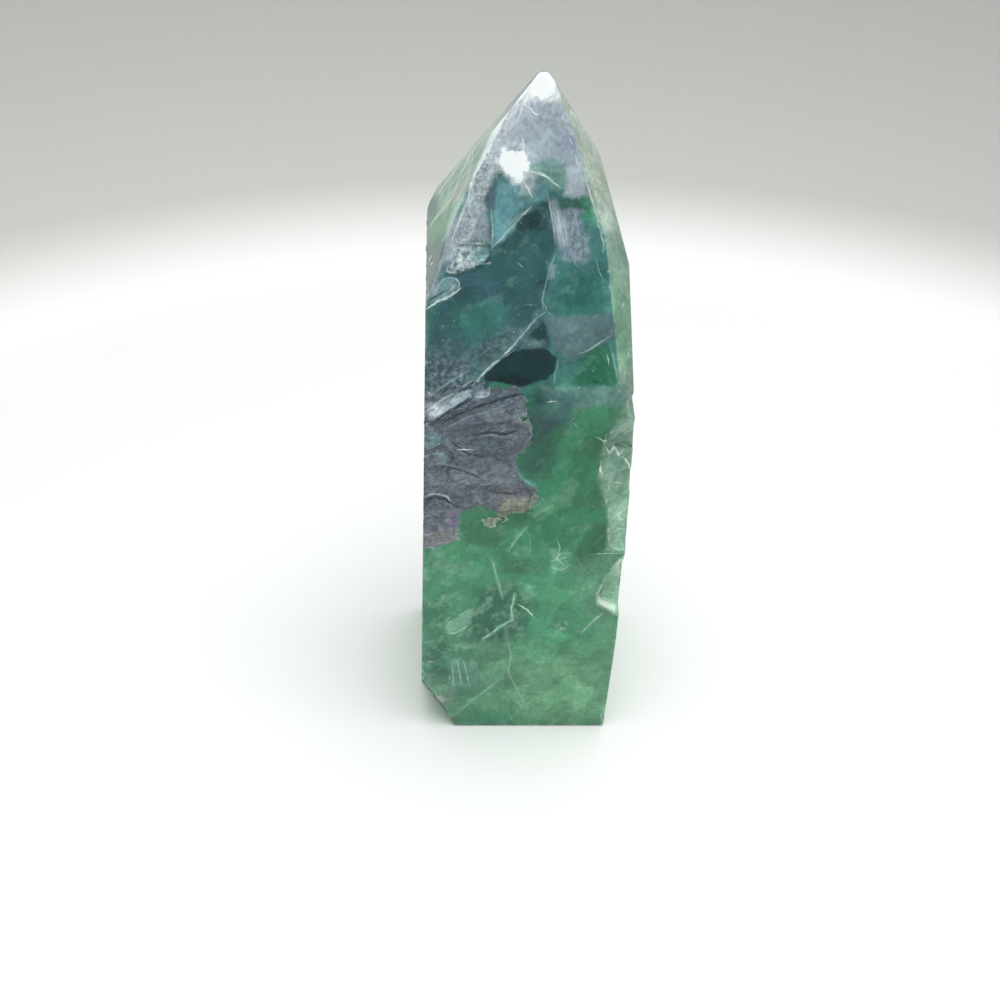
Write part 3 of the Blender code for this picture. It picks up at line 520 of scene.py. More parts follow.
DARK_CRACKS_AND_SHADOW_LINES = [
    # on the purple-grey ground: the dark grey lines below its leaves' pale rims are painted shadow in the gaps
    # under them
    *cracks("front", """
        #10282C 0.7 0.2  3.7,81.2 4.1,79.8 4.4,78.1 4.6,76.4
        #10282C 0.8 0.3  -3.2,75.2 -3.4,74.1 -4.1,73.7 -6.3,73 -8.4,72.4
        #123A2C 0.8 0.35  9.3,61 10.7,60.4 12.1,60
        #1F4648 0.6 0.2  -1.9,82.2 -2.2,80.8 -1.9,79.8
        #262D39 0.95 0.45  -11.4,54.6 -9.9,55.6 -8.1,56.9 -5.7,58.1
        #262D39 0.9 0.36  -9.6,54.8 -7.2,56.1 -4.3,57.4 -0.8,58.5 1,58.9
        #262D39 0.85 0.34  -8.8,52.4 -7.6,51.2 -6.1,50.1 -4.3,49.5
        #262D39 0.85 0.39  -6.4,52.8 -3.7,53.4 -1.3,53.1 0.5,53.8
        #262D39 0.95 0.44  -12.5,42.8 -10.9,43.4 -9.5,43 -8.3,42 -7.1,41.8
        #2B323E 0.8 0.34  -11.7,48 -9.8,48.3 -7.4,47.6 -4.4,46.2
        #3A3533 0.85 0.39  -4.4,44.8 -2.5,44 -0.1,43.7 1.8,44.8
        #1F4A3A 0.7 0.28  -7.5,41.1 -5.7,42 -3.5,41.6 -1.3,40.5 1.6,40.6
        #1C3F30 0.8 0.4  7.1,20.7 7.4,20.4
        #2E6350 0.6 0.35  -8.8,7.6 -7.9,6.5 -6.9,6.8
        #2E5F4A 0.6 0.2  14.6,33.2 12.9,30.6 12.4,28.2"""),
    # the same painted shadow lines on the natural faces of the back and the left
    *cracks("back", """
        #262D39 0.85 0.39  -6.4,38.4 -2,36.8 2,38.4 6.4,38"""),
    *cracks("left", """
        #262D39 0.85 0.39  2,39.4 5,37.2 8.4,38.6 11.8,40.2"""),
]

# Cracks that lie close together are kept on sheets of their own.
CRACK_SHEETS = [DARK_CRACKS_AND_SHADOW_LINES, PALE_CRACKS[0::3], PALE_CRACKS[1::3], PALE_CRACKS[2::3]]

# ---------------------------------------------------------------- small helpers


def linear(colour):
    """An sRGB hex colour as the linear one that the shaders take."""
    channels = [int(colour[place:place + 2], 16) / 255.0 for place in (1, 3, 5)]
    return [c / 12.92 if c <= 0.04045 else ((c + 0.055) / 1.055) ** 2.4 for c in channels] + [1.0]


def smoothstep(low, high, value):
    t = np.clip((value - low) / (high - low), 0.0, 1.0)
    return t * t * (3.0 - 2.0 * t)


def place_in_scene(name, data):
    thing = bpy.data.objects.new(name, data)
    bpy.context.scene.collection.objects.link(thing)
    return thing


def only(thing):
    """Leaves one object selected and active, ready for an operator."""
    bpy.ops.object.select_all(action="DESELECT")
    thing.select_set(True)
    bpy.context.view_layer.objects.active = thing


def edit_all():
    bpy.ops.object.mode_set(mode="EDIT")
    bpy.ops.mesh.select_all(action="SELECT")


def read(items, name, width=1, kind=float):
    """A value of each of a mesh's points, edges, faces or corners."""
    values = np.empty(len(items) * width, dtype=kind)
    items.foreach_get(name, values)
    return values.reshape(-1, width) if width > 1 else values


def keep(mesh, name, values):
    """Keeps a value or a colour on each of the stone's points."""
    if values.ndim == 1:
        mesh.attributes.new(name, "FLOAT", "POINT").data.foreach_set("value", values)
    else:
        mesh.attributes.new(name, "FLOAT_COLOR", "POINT").data.foreach_set("color", values.ravel())


# ---------------------------------------------------------------- the stone's mesh


def tower_mesh():
    """A merged copy of the CAD solid, its facets whole again, each face marked polished or broken."""
    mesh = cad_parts[NODE].data.copy()
    mesh.name = "fluorite_tower"
    tower = place_in_scene("fluorite_tower", mesh)
    only(tower)
    edit_all()
    bpy.ops.mesh.remove_doubles(threshold=MERGE * MM)
    bpy.ops.mesh.dissolve_limited(angle_limit=math.radians(FLAT_ANGLE))
    bpy.ops.object.mode_set(mode="OBJECT")
    mark_polish(mesh)
    edit_all()
    bpy.ops.mesh.quads_convert_to_tris(quad_method="SHORTEST_DIAGONAL", ngon_method="BEAUTY")
    bpy.ops.object.mode_set(mode="OBJECT")
    return tower


def mark_polish(mesh):
    """Marks each face 1 if it is polished: then no corner of the stone stands in front of it."""
    corners = points_of(mesh)
    marks = mesh.attributes.new("polished", "INT", "FACE")
    for face in mesh.polygons:
        ahead = (corners - corners[face.vertices[0]]) @ np.array(face.normal[:])
        marks.data[face.index].value = int(ahead.max() < OUTSIDE_BY)


def points_of(mesh):
    """The mesh's points in mm."""
    return read(mesh.vertices, "co", 3) / MM


def corners_of(mesh):
    return read(mesh.loops, "vertex_index", kind=int)


def broken_points(mesh, wholly=True):
    """True for each point whose faces are broken or natural: all of them, or if not wholly, at least one."""
    polished = np.repeat(read(mesh.attributes["polished"].data, "value", kind=int), 3)
    gather, start = (np.maximum, 0) if wholly else (np.minimum, 1)
    touched = np.full(len(mesh.vertices), start)
    gather.at(touched, corners_of(mesh), polished)
    return touched == 0


def point_normals(mesh, places):
    """The way each point faces: its faces' own normals, each counted by its area."""
    corners = corners_of(mesh)
    first, second, third = (places[corners[place::3]] for place in range(3))
    totals = np.zeros((len(places), 3))
    np.add.at(totals, corners, np.repeat(np.cross(second - first, third - first), 3, axis=0))
    return totals / np.maximum(np.linalg.norm(totals, axis=1, keepdims=True), 1e-12)


def refine(tower):
    """Halves the long edges until the mesh is fine enough to carry the colour zones and the roughness."""
    mesh = tower.data
    only(tower)
    for _ in range(PASSES):
        places = points_of(mesh)
        first, second = read(mesh.edges, "vertices", 2, int).T
        middle = (places[first] + places[second]) / 2.0
        front = front_depth(middle) < NEAR_FRONT
        facets = (middle[:, 2] > LEFT_FACETS) & (middle[:, 0] < 0.0) & (middle[:, 1] < -FRONT_Y)
        rough = broken_points(mesh, wholly=False)
        rough = rough[first] & rough[second]
        ground = front & (inside_by(middle[:, 0], middle[:, 2], PURPLE_GROUND) > -ROUND_GROUND)
        limit = np.where(rough | ground, FINEST, np.where(front, FINE, np.where(facets, MIDDLING, COARSE)))
        long = np.linalg.norm(places[first] - places[second], axis=1) > limit * LONGER
        if not long.any():
            break
        bpy.ops.object.mode_set(mode="EDIT")
        bpy.ops.mesh.select_mode(type="EDGE")
        bpy.ops.mesh.select_all(action="DESELECT")
        bpy.ops.object.mode_set(mode="OBJECT")
        mesh.edges.foreach_set("select", long)
        bpy.ops.object.mode_set(mode="EDIT")
        bpy.ops.mesh.subdivide(number_cuts=1)
        bpy.ops.mesh.select_all(action="SELECT")
        bpy.ops.mesh.quads_convert_to_tris(quad_method="SHORTEST_DIAGONAL", ngon_method="BEAUTY")
        if len(mesh.polygons) < EVEN_UP_BELOW:
            bpy.ops.mesh.beautify_fill(angle_limit=math.radians(FLAT_ANGLE))
        bpy.ops.object.mode_set(mode="OBJECT")


# ---------------------------------------------------------------- colour zones


def inside_by(across, height, outline, closed=True):
    """How far each point lies inside the outline, in mm, or minus its distance from it."""
    nearest = np.full(len(across), 1e9)
    inside = np.zeros(len(across), dtype=bool)
    ends = list(outline[1:]) + [outline[0]] if closed else outline[1:]
    for (x0, y0), (x1, y1) in zip(outline, ends):
        dx, dy = x1 - x0, y1 - y0
        along = np.clip(((across - x0) * dx + (height - y0) * dy) / (dx * dx + dy * dy), 0.0, 1.0)
        nearest = np.minimum(nearest, np.hypot(across - x0 - along * dx, height - y0 - along * dy))
        if closed and dy:
            inside ^= ((y0 > height) != (y1 > height)) & (across < (height - y0) * dx / dy + x0)
    return np.where(inside, nearest, -nearest)


def beside_line(across, height, line):
    """How far each point is to the right of the line, in mm, how far from it, and how far past its ends."""
    nearest = np.full(len(across), 1e9)
    beside = np.zeros(len(across))
    past = np.zeros(len(across))
    run, whole = 0.0, sum(math.dist(*ends) for ends in zip(line, line[1:]))
    for (x0, y0), (x1, y1) in zip(line, line[1:]):
        length = math.hypot(x1 - x0, y1 - y0)
        along = ((across - x0) * (x1 - x0) + (height - y0) * (y1 - y0)) / length
        right = ((across - x0) * (y1 - y0) - (height - y0) * (x1 - x0)) / length
        away = np.hypot(right, along - np.clip(along, 0.0, length))
        closer = away < nearest
        beyond = np.maximum(-(run + along), run + along - whole)
        nearest = np.where(closer, away, nearest)
        beside = np.where(closer, np.where(beyond > 0.0, right, np.copysign(away, right)), beside)
        past = np.where(closer, beyond, past)
        run += length
    return beside, nearest, past


def front_depth(places):
    """How far each point lies behind the front, in mm."""
    lean = math.radians(FACET_LEAN)
    depth = places[:, 1] - FRONT_Y
    return np.minimum(depth, depth * math.cos(lean) - (places[:, 2] - FACET_FOOT) * math.sin(lean))


def flat_places(places, side):
    """The points as they are seen on a side: how far across it, and how high."""
    return (places[:, 1] if side in ("left", "right") else places[:, 0]), places[:, 2]


def facing_sides(mesh, places):
    """How much each point belongs to each side: by the way it faces, and if it is broken by its place too."""
    normals = point_normals(mesh, places)
    broken = broken_points(mesh)
    facing = {"around": np.ones(len(places))}
    for side, outward, behind, (deep, shallow) in (
        ("front", -normals[:, 1], front_depth(places), BROKEN_FRONT),
        ("back", normals[:, 1], -FRONT_Y - places[:, 1], BROKEN_SIDE),
        ("left", -normals[:, 0], places[:, 0] + SIDE_X, BROKEN_SIDE),
        ("right", normals[:, 0], SIDE_X - places[:, 0], BROKEN_SIDE),
    ):
        by_place = broken * smoothstep(deep, shallow, behind) * (outward > TURNED_AWAY)
        facing[side] = np.maximum(smoothstep(*TURNED, outward), by_place)
    return facing


def drift_of(places):
    """How far borders wander at each point, as a share of a stain's wobble."""
    noise.seed_set(DRIFT_SEED)
    drift = np.zeros((len(places), 3))
    for turn, (size, far) in enumerate(DRIFT_SIZES):
        shift = turn * DRIFT_APART
        drift += far * np.array([noise.noise_vector(Vector(place) / size + shift) for place in places])
    return drift


def lay_stains(places, facing, drift, layers, colour, clear, grains):
    """Lays stains and veins over a colour, one after another."""
    for layer in layers:
        across, height = flat_places(places, layer.side)
        across = across + layer.wobble * drift[:, 0]
        height = height + layer.wobble * drift[:, 2]
        if isinstance(layer, Stain):
            depth = inside_by(across, height, layer.outline)
        else:
            depth = layer.width / 2.0 + inside_by(across, height, layer.points, closed=False)
        share = layer.cover * facing[layer.side] * smoothstep(-layer.soft / 2.0, layer.soft / 2.0, depth)
        colour += share[:, None] * (np.array(linear(layer.colour)[:3]) - colour)
        if layer.clear is not None:
            clear += share * (layer.clear - clear)
        if isinstance(layer, Stain):
            for grain, amount in grains.items():
                amount += share * ((layer.grain == grain) - amount)


def lay_borders(places, facing, outlines):
    """How far each point lies inside the nearest of the outlines, in mm."""
    depth = np.full(len(places), -BORDER_REACH)
    for side, outline in outlines:
        found = inside_by(*flat_places(places, side), outline)
        depth = np.where(facing[side] > 0.5, np.maximum(depth, found), depth)
    return np.clip(depth, -BORDER_REACH, BORDER_REACH)


def lay_cracks(mesh, places, facing):
    """Keeps each sheet's cracks on the stone's points: the distance from them, their colour and their cover."""
    for sheet, lines in enumerate(CRACK_SHEETS):
        closest = np.full(len(places), 1e9)
        distance = np.full(len(places), NO_LINE)
        colour = np.zeros((len(places), 4))
        for crack in lines:
            beside, away, past = beside_line(*flat_places(places, crack.side), crack.points)
            reach = REACH[crack.side]
            half = 0.5 * crack.width * (TAPER_LEAST + (1.0 - TAPER_LEAST) * smoothstep(0.0, TAPER, -past))
            cover = crack.cover * smoothstep(TAPER_END, 0.0, past) * smoothstep(1.5 * reach, reach, away)
            taken = (away < closest) & (facing[crack.side] > 0.5)
            closest = np.where(taken, away, closest)
            distance = np.where(taken, np.clip(beside, -2.0 * reach, 2.0 * reach) / half, distance)
            colour[taken, :3] = linear(crack.colour)[:3]
            colour[taken, 3] = cover[taken]
        keep(mesh, f"line {sheet}", distance)
        keep(mesh, f"sheet {sheet}", colour)


def worn_edges(mesh):
    """1 on the rounded polished edges of the stone and 0 on its flats."""
    normals = np.repeat(read(mesh.polygons, "normal", 3), 3, axis=0)
    low, high = np.full((len(mesh.vertices), 3), 2.0), np.full((len(mesh.vertices), 3), -2.0)
    np.minimum.at(low, corners_of(mesh), normals)
    np.maximum.at(high, corners_of(mesh), normals)
    return smoothstep(*BRUISED, np.linalg.norm(high - low, axis=1))


def lay_zones(tower):
    """Lays the colours, the sharp borders and the cracks, and keeps them on the stone's points. Gives the
    names of the masks kept there."""
    mesh = tower.data
    places = points_of(mesh)
    facing = facing_sides(mesh, places)
    drift = drift_of(places)
    for name, base, layers in (("ground colour", GROUND_COLOUR, GROUND_ZONES),
                               ("zone colour", BODY_COLOUR, ZONES + VEINS)):
        colour = np.tile(np.array(linear(base)[:3]), (len(places), 1))
        clear = np.full(len(places), BODY_CLEAR)
        grains = {grain: np.zeros(len(places)) for grain in GRAINS}
        lay_stains(places, facing, drift, layers, colour, clear, grains)
        keep(mesh, name, np.hstack([colour, np.ones((len(places), 1))]))
    masks = {"clear": clear, **grains}
    masks["dull"] = sum(grains[grain] * amount for grain, amount in GRAINS.items())
    masks["edge"] = worn_edges(mesh)
    for name, outlines in (("ground", GROUNDS), ("white", WHITE_PATCHES_AND_GLINTS), ("dark", DARKS)):
        masks[name] = lay_borders(places, facing, outlines)
    for name, values in masks.items():
        keep(mesh, name, values)
    lay_cracks(mesh, places, facing)
    return list(masks)


# ---------------------------------------------------------------- materials

FLUORITE_IOR = 1.434
CLEAREST, SOLID_CLEAR = 0.86, 0.1  # how clear the clean stone is at most, and what is cracked, in the white patches or raw
MATTEST = 0.5  # the roughness of the unpolished face

FINEST_GRAIN = 0.14  # mm: about the smallest that shows
# The grains used all over: their size in mm, and how far and how steeply some are drawn out. Real wisps and
# streaks are made of threads and bubbles of some hundredths of a millimetre, drawn coarser here to show.
SHARED_GRAINS = {"cloud": (3.4,), "fleck": (0.6,), "uneven": (1.5,), "border": (1.2,),
                 "streak": (0.9, 8.0, 26.0), "fine streak": (0.26, 20.0, 26.0)}
# Bubbles with painted glints: pale dots for the light they catch.
BUBBLE_GLINTS_APART = 0.9  # mm
BUBBLE_GLINT_EDGE = 0.14, 0.07  # their outer and inner rim, as a share of that
BLOCKS = 3.2, 35.0, 1.7  # the blocks between cleavages: their size in mm, lean in degrees and stretch
LEAVES = 8.0, 0.34, -20.0  # the natural face's leaves: their size, stretch and lean
# Painted light and shade across one leaf, from its foot to its head: a painted shadow in the gap, then ever
# paler up to a painted highlight on its rim.
LEAF_PAINTED_SHADING = [(0.0, 0.38), (0.1, 0.66), (0.3, 0.9), (0.72, 1.04), (0.9, 1.3), (1.0, 1.85)]


def add(tree, kind, inputs=(), **settings):
    """Adds a node to a material, with its settings, its values and its links. The inputs go by name or by
    order, and a node among them is linked by its first output in use."""
    node = tree.nodes.new("ShaderNode" + kind)
    for setting, value in settings.items():
        setattr(node, setting, value)
    for socket, value in inputs.items() if isinstance(inputs, dict) else enumerate(inputs):
        if isinstance(value, bpy.types.Node):
            value = next(output for output in value.outputs if output.enabled)
        if isinstance(value, bpy.types.NodeSocket):
            tree.links.new(value, node.inputs[socket])
        else:
            node.inputs[socket].default_value = value
    return node


def new_material(name):
    material = bpy.data.materials.new(name)
    material.use_nodes = True
    material.node_tree.nodes.clear()
    return material, material.node_tree


def stone_grain(tree, place, size, stretch=1.0, lean=0.0):
    """The stone's own unevenness, in grains of a size in mm down to the smallest that shows. They are drawn
    out to stretch times that along a line that leans from the upright by lean degrees."""
    laid = add(tree, "Mapping", {"Vector": place, "Rotation": (math.radians(lean), math.radians(lean), 0.0),
                                 "Scale": (1.0, 1.0, stretch)}, vector_type="TEXTURE")
    return add(tree, "TexNoise", {"Vector": laid, "Scale": 1.0 / (size * MM), "Roughness": 0.6,
                                  "Detail": max(1.0, math.log2(size / FINEST_GRAIN))})


def stone_body(tree, place, grains, masks, pale):
    """The colour zones as the stone shows them: clouded, cut by cleavage, with wisps, streaks and frosting."""
    colour = add(tree, "Attribute", attribute_name="zone colour")
    # It is cloudy inside, some millimetres and then some tenths of a millimetre across. Fluorite cleaves along
    # flat planes, and each small block between them sends back its own light.
    size, lean, stretch = BLOCKS
    laid = add(tree, "Mapping", {"Vector": place, "Rotation": (0.0, math.radians(lean), 0.0),
                                 "Scale": (1.0, 1.0, stretch)}, vector_type="TEXTURE")
    blocks = add(tree, "TexVoronoi", {"Vector": laid, "Scale": 1.0 / (size * MM)}).outputs["Color"]
    for pattern, darkest, palest in ((grains["cloud"], 0.74 * pale, 1.26 * pale), (grains["fleck"], 0.82, 1.18),
                                     (blocks, 0.88, 1.12)):
        shade = add(tree, "MapRange", (pattern, 0.3, 0.7, darkest, palest))
        colour = add(tree, "VectorMath", {0: colour, "Scale": shade}, operation="SCALE")
    # wisps of tiny bubbles, here and there all over and thicker in their own places
    drawn_out = stone_grain(tree, place, 2.0, 1.8, 40.0)
    thick = add(tree, "MapRange", (drawn_out, 0.48, 0.68, 0.0, 0.7))
    thick = add(tree, "Math", (thick, masks["wisps"]), operation="MULTIPLY")
    faint = add(tree, "MapRange", (drawn_out, 0.54, 0.76, 0.0, 0.3))
    wisps = add(tree, "Math", (thick, faint), operation="MAXIMUM")
    colour = add(tree, "Mix", {0: wisps, 6: colour, 7: linear("#A0CAB6")}, data_type="RGBA")
    # pinprick bubbles with painted glints: pale dots for the light they catch
    colour = add(tree, "Mix", {0: grains["bubble"], 6: colour, 7: linear("#DCEFE6")}, data_type="RGBA")
    # streaks drawn out along the crystal's growth, and frosting
    frosting = stone_grain(tree, place, 0.45, 2.2, 8.0)
    for pattern, thin, full, most, where, over in (
        (grains["streak"], 0.48, 0.62, 0.8, "streaks", "#E9EFF3"),
        (grains["fine streak"], 0.48, 0.62, 0.7, "streaks", "#E9EFF3"),
        (frosting, 0.4, 0.7, 0.4, "frost", "#CBD6DE"),
    ):
        share = add(tree, "MapRange", (pattern, thin, full, 0.0, most))
        share = add(tree, "Math", (share, masks[where]), operation="MULTIPLY")
        colour = add(tree, "Mix", {0: share, 6: colour, 7: linear(over)}, data_type="RGBA")
    # dark pin specks and pale grains of the unpolished face
    pins = add(tree, "MapRange", (grains["fleck"], 0.4, 0.6, 0.5, 1.3))
    specked = add(tree, "VectorMath", {0: colour, "Scale": pins}, operation="SCALE")
    colour = add(tree, "Mix", {0: masks["specks"], 6: colour, 7: specked}, data_type="RGBA")
    # polished edges are bruised here and there to a white line
    bruises = add(tree, "MapRange", (grains["uneven"], 0.5, 0.6, 0.0, 0.75))
    bruises = add(tree, "Math", (bruises, masks["edge"]), operation="MULTIPLY")
    return add(tree, "Mix", {0: bruises, 6: colour, 7: linear("#E4EFEA")}, data_type="RGBA"), wisps


def natural_ground(tree, place, grains):
    """The unpolished crystal face: leaves that lie one over another, with painted shade in the gap below each
    rim and a painted highlight on the rim.
    """
    colour = add(tree, "Attribute", attribute_name="ground colour")
    leaves = stone_grain(tree, place, *LEAVES)
    # painted light and shade of broad leaves, and between them of fine ones
    for count, contrast, bare, full, least, most in ((8.0, 1.15, 0.38, 0.6, 0.35, 1.0),
                                                     (23.0, 0.9, 0.62, 0.4, 0.3, 0.9)):
        across = add(tree, "Math", (leaves, count), operation="MULTIPLY")
        ramp = add(tree, "ValToRGB", [add(tree, "Math", (across,), operation="FRACT")])
        stops = ramp.color_ramp.elements
        for position, _ in LEAF_PAINTED_SHADING[1:-1]:
            stops.new(position)
        for stop, (_, shade) in zip(stops, LEAF_PAINTED_SHADING):
            stop.color = [1.0 + contrast * (shade - 1.0)] * 3 + [1.0]
        leaf_painted_shade = add(tree, "Mix", {0: 1.0, 6: colour, 7: ramp}, data_type="RGBA", blend_type="MULTIPLY")
        share = add(tree, "MapRange", (grains["cloud"], bare, full, least, most))
        colour = add(tree, "Mix", {0: share, 6: colour, 7: leaf_painted_shade}, data_type="RGBA")
    # it is mottled, with grit in its hollows, and painted sparkle: pale glint dots
    for pattern, low, high, darkest, palest in ((grains["uneven"], 0.32, 0.68, 0.72, 1.3),
                                                (grains["fleck"], 0.3, 0.7, 0.74, 1.24)):
        shade = add(tree, "MapRange", (pattern, low, high, darkest, palest))
        colour = add(tree, "VectorMath", {0: colour, "Scale": shade}, operation="SCALE")
    return add(tree, "Mix", {0: grains["bubble"], 6: colour, 7: linear("#C6D0D8")}, data_type="RGBA")


def draw_cracks(tree, grains, colour):
    """Draws the hairlines, ragged and uneven along their length. Gives the colour and how much they cover."""
    ragged = add(tree, "MapRange", (grains["fleck"], 0.2, 0.8, -0.9, 0.9))
    uneven = add(tree, "MapRange", (grains["uneven"], 0.34, 0.58, 0.3, 1.0))
    covered = 0.0
    for sheet in range(len(CRACK_SHEETS)):
        look = add(tree, "Attribute", attribute_name=f"sheet {sheet}")
        line = add(tree, "Attribute", attribute_name=f"line {sheet}").outputs["Fac"]
        line = add(tree, "Math", (line, ragged), operation="ADD")
        line = add(tree, "Math", (line,), operation="ABSOLUTE")
        cover = add(tree, "Math", (look.outputs["Alpha"], uneven), operation="MULTIPLY")
        drawn = add(tree, "Math", (add(tree, "MapRange", (line, *CRACK_DRAWN)), cover), operation="MULTIPLY")
        colour = add(tree, "Mix", {0: drawn, 6: colour, 7: look}, data_type="RGBA")
        covered = add(tree, "Math", (covered, drawn), operation="MAXIMUM")
    return colour, covered


def ragged_border(tree, grains, depth, wander, soft):
    """1 inside a border that wanders to either side, in mm."""
    off = add(tree, "MapRange", (grains["border"], 0.2, 0.8, -wander, wander))
    edge = add(tree, "Math", (depth, off), operation="ADD")
    return add(tree, "MapRange", (edge, -soft, soft))


def fluorite(name, kept, pale, matt, relief):
    """Natural fluorite, in one finish. It is cloudy and only partly see-through: the eye gets a soft shine from
    its flats, and light that went in and came back with the colour of its zones, greener the deeper it went.
    Ground and polished flats are nearly smooth, and breaks a little less so. kept names the masks on the
    stone's points, pale lightens the zones, matt is the roughness and relief the fine relief's height in mm."""
    material, tree = new_material(name)
    place = add(tree, "TexCoord").outputs["Object"]
    masks = {mask: add(tree, "Attribute", attribute_name=mask).outputs["Fac"] for mask in kept}
    grains = {grain: stone_grain(tree, place, *shape) for grain, shape in SHARED_GRAINS.items()}
    # Tiny bubbles, some with a painted glint, a pale dot for the light they catch: a real one is a pinprick,
    # drawn about a pixel wide to show.
    bubbles = add(tree, "TexVoronoi", {"Vector": place, "Scale": 1.0 / (BUBBLE_GLINTS_APART * MM)})
    round_bubbles = add(tree, "MapRange", (bubbles.outputs["Distance"], *BUBBLE_GLINT_EDGE, 0.0, 0.5))
    bright_bubbles = add(tree, "MapRange", (bubbles.outputs["Color"], 0.6, 0.74))
    grains["bubble"] = add(tree, "Math", (round_bubbles, bright_bubbles), operation="MULTIPLY")
    body, wisps = stone_body(tree, place, grains, masks, pale)
    raw = natural_ground(tree, place, grains)
    ground = ragged_border(tree, grains, masks["ground"], 0.9, 0.06)
    colour = add(tree, "Mix", {0: ground, 6: body, 7: raw}, data_type="RGBA")
    # sharp-bordered patches: near-black ones, and white chalky ones, each in a streaky haze
    dark = ragged_border(tree, grains, masks["dark"], 0.35, 0.12)
    dark = add(tree, "Math", (dark, 0.9), operation="MULTIPLY")
    colour = add(tree, "Mix", {0: dark, 6: colour, 7: linear("#05242D")}, data_type="RGBA")
    # sharp-bordered patches: near-black ones, and white ones that are partly chalky and partly painted glints,
    # each in a streaky haze
    haze = add(tree, "MapRange", (grains["streak"], 0.42, 0.66, 0.0, 0.6))
    haze = add(tree, "Math", (haze, add(tree, "MapRange", (masks["white"], -1.7, 0.0))), operation="MULTIPLY")
    chalk_and_glint = ragged_border(tree, grains, masks["white"], 0.65, 0.1)
    bloom = add(tree, "Math", (haze, chalk_and_glint), operation="MAXIMUM")
    share = add(tree, "Math", (bloom, 0.96), operation="MULTIPLY")
    colour = add(tree, "Mix", {0: share, 6: colour, 7: linear("#F4F8FA")}, data_type="RGBA")
    colour, covered = draw_cracks(tree, grains, colour)
    # what is cloudy, in the white patches, cracked or unpolished lets less light through
    solid = add(tree, "Math", (bloom, covered), operation="MAXIMUM")
    solid = add(tree, "Math", (solid, ground), operation="MAXIMUM")
    clear = add(tree, "MapRange", (solid, 0.0, 1.0, CLEAREST, SOLID_CLEAR))
    clear = add(tree, "Math", (masks["clear"], clear), operation="MULTIPLY")
    wispy = add(tree, "MapRange", (wisps, 0.0, 0.75, 1.0, 0.4))
    clear = add(tree, "Math", (clear, wispy), operation="MULTIPLY")
    dull = add(tree, "Math", (masks["dull"], ground), operation="MAXIMUM")
    bump = add(tree, "Bump", {"Height": grains["fleck"], "Distance": relief * MM,
                              "Strength": add(tree, "MapRange", (dull, 0.0, 1.0, 0.12, 1.0))})
    roughness = add(tree, "MapRange", (dull, 0.0, 1.0, matt, MATTEST))
    shader = add(tree, "BsdfPrincipled", {"Base Color": colour, "IOR": FLUORITE_IOR, "Roughness": roughness,
                                          "Transmission Weight": clear, "Normal": bump})
    inside = add(tree, "VolumeAbsorption", {"Color": (0.42, 0.80, 0.62, 1.0), "Density": 16.0})
    add(tree, "OutputMaterial", {"Surface": shader, "Volume": inside})
    return material


def paper_wall():
    """Matt white paper: it stands in less light where it turns up, so its wall is greyer towards the top."""
    material, tree = new_material("white paper")
    place = add(tree, "TexCoord").outputs["Object"]
    height = add(tree, "SeparateXYZ", (place,)).outputs["Z"]
    colour = linear("#F4F5F5")
    for foot, head, over in ((2.0, 26.0, "#CFD0CC"), (20.0, 90.0, "#B4B5B1")):
        share = add(tree, "MapRange", (height, foot * MM, head * MM))
        colour = add(tree, "Mix", {0: share, 6: colour, 7: linear(over)}, data_type="RGBA")
    shader = add(tree, "BsdfPrincipled", {"Base Color": colour, "Roughness": 0.9, "Specular IOR Level": 0.2})
    add(tree, "OutputMaterial", {"Surface": shader})
    return material


# ---------------------------------------------------------------- the set


def paper_sweep():
    """A round sheet of white paper that turns up all round into a wall."""
    profile = [(0.0, 0.0), (FLOOR_RADIUS * 0.5, 0.0)]
    for step in range(BEND_STEPS + 1):
        turn = 0.5 * math.pi * step / BEND_STEPS
        profile.append((FLOOR_RADIUS + BEND_RADIUS * math.sin(turn), BEND_RADIUS * (1.0 - math.cos(turn))))
    profile.append((FLOOR_RADIUS + BEND_RADIUS, WALL_HEIGHT))
    mesh = bpy.data.meshes.new("paper_sweep")
    mesh.from_pydata([(radius * MM, 0.0, height * MM) for radius, height in profile],
                     [(step, step + 1) for step in range(len(profile) - 1)], [])
    sweep = place_in_scene("paper_sweep", mesh)
    only(sweep)
    edit_all()
    bpy.ops.mesh.spin(steps=ROUND_STEPS, angle=2.0 * math.pi, center=(0.0, 0.0, 0.0), axis=(0.0, 0.0, 1.0))
    bpy.ops.mesh.select_all(action="SELECT")
    bpy.ops.mesh.remove_doubles(threshold=0.01 * MM)
    bpy.ops.mesh.normals_make_consistent(inside=True)
    bpy.ops.object.mode_set(mode="OBJECT")
    bpy.ops.object.shade_smooth()
    sweep.data.materials.append(paper_wall())


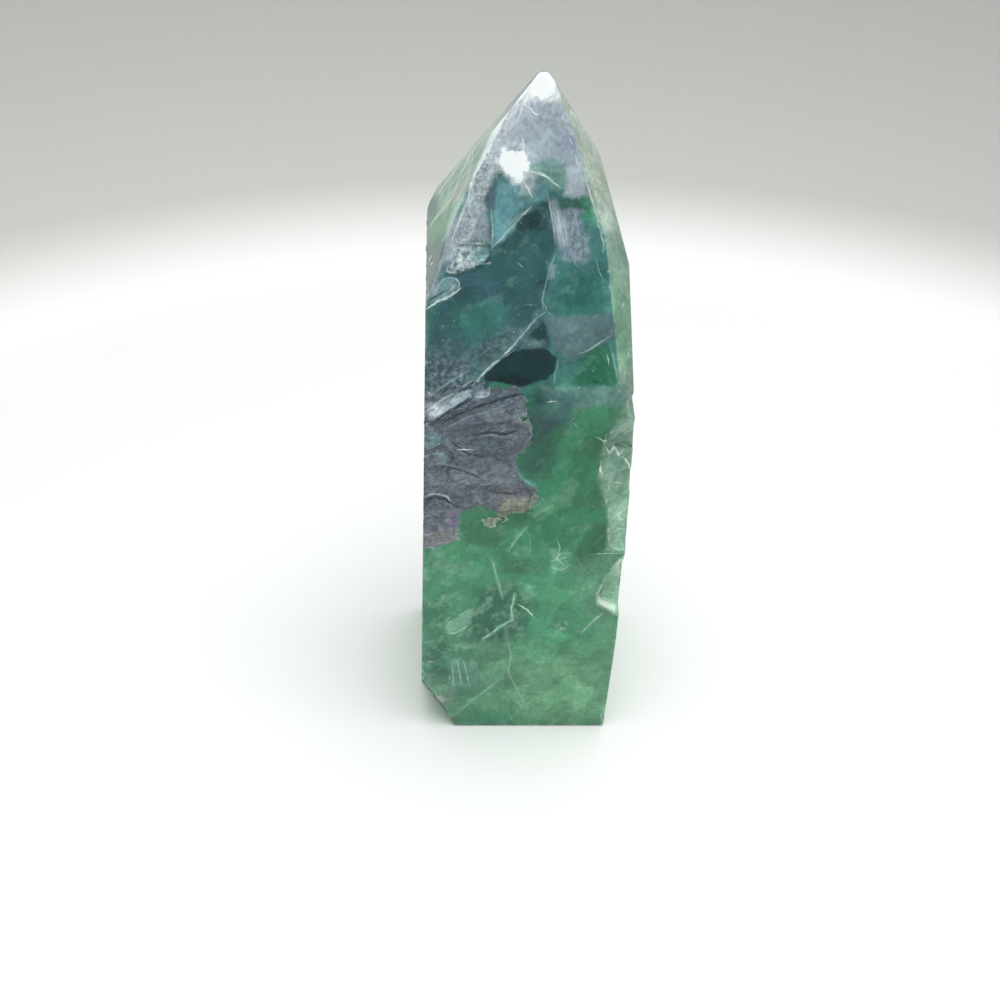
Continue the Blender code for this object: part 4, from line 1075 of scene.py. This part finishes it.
def light_the_set():
    """Daylight from all round, and a soft box above the stone."""
    scene = bpy.context.scene
    scene.view_settings.view_transform = "Standard"
    world = bpy.data.worlds.new("soft daylight")
    world.use_nodes = True
    world.node_tree.nodes["Background"].inputs["Color"].default_value = linear("#F4F6F8")
    world.node_tree.nodes["Background"].inputs["Strength"].default_value = DAYLIGHT
    scene.world = world
    lamp = bpy.data.lights.new("soft box", "AREA")
    lamp.shape = "RECTANGLE"
    lamp.size = lamp.size_y = BOX_SIZE * MM
    lamp.energy = BOX_WATTS
    lamp.color = BOX_COLOUR
    box = place_in_scene("soft box", lamp)
    box.location = Vector(BOX_AT) * MM
    box.rotation_mode = "QUATERNION"
    box.rotation_quaternion = (Vector(BOX_AIM) - Vector(BOX_AT)).to_track_quat("-Z", "Y")


def camera():
    data = bpy.data.cameras.new("camera")
    data.sensor_width = SENSOR
    data.lens = LENS
    data.clip_start, data.clip_end = NEAREST_SEEN * MM, FURTHEST_SEEN * MM
    thing = place_in_scene("camera", data)
    thing.location = Vector(CAMERA_AT) * MM
    thing.rotation_euler = (math.radians(90.0 - CAMERA_DOWN), 0.0, 0.0)
    bpy.context.scene.camera = thing


# ---------------------------------------------------------------- the whole scene


def roughen(tower):
    """Breaks up the broken and the natural surfaces: small steps and ripples, none on the polished flats."""
    mesh = tower.data
    places = points_of(mesh)
    ground = smoothstep(0.0, RELIEF_RISES, lay_borders(places, facing_sides(mesh, places), GROUNDS))
    for name, weights in (("broken", broken_points(mesh) * (1.0 - ground)), ("ground", ground)):
        group = tower.vertex_groups.new(name=name)
        for index in np.flatnonzero(weights > 0.01):
            group.add([int(index)], float(weights[index]), "REPLACE")
    only(tower)
    for group, kind, size, height, level in RELIEF:
        texture = bpy.data.textures.new(f"{group} {kind.lower()}", kind)
        texture.noise_scale = size * MM
        push = tower.modifiers.new(texture.name, "DISPLACE")
        push.texture = texture
        push.texture_coords = "LOCAL"
        push.vertex_group = group
        push.strength = height * MM
        push.mid_level = level
        bpy.ops.object.modifier_apply(modifier=push.name)
    tower.vertex_groups.clear()


def fluorite_tower():
    tower = tower_mesh()
    refine(tower)
    kept = lay_zones(tower)
    roughen(tower)
    tower.data.materials.clear()
    tower.data.materials.append(fluorite("polished fluorite", kept, 1.0, 0.04, 0.06))
    tower.data.materials.append(fluorite("broken fluorite", kept, 1.25, 0.12, 0.08))
    polished = read(tower.data.attributes["polished"].data, "value", kind=int)
    tower.data.polygons.foreach_set("material_index", 1 - polished)
    only(tower)
    bpy.ops.object.shade_smooth_by_angle(angle=math.radians(SMOOTH_ANGLE))
    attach(tower, "root")
    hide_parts(NODE)


camera()
light_the_set()
paper_sweep()
fluorite_tower()
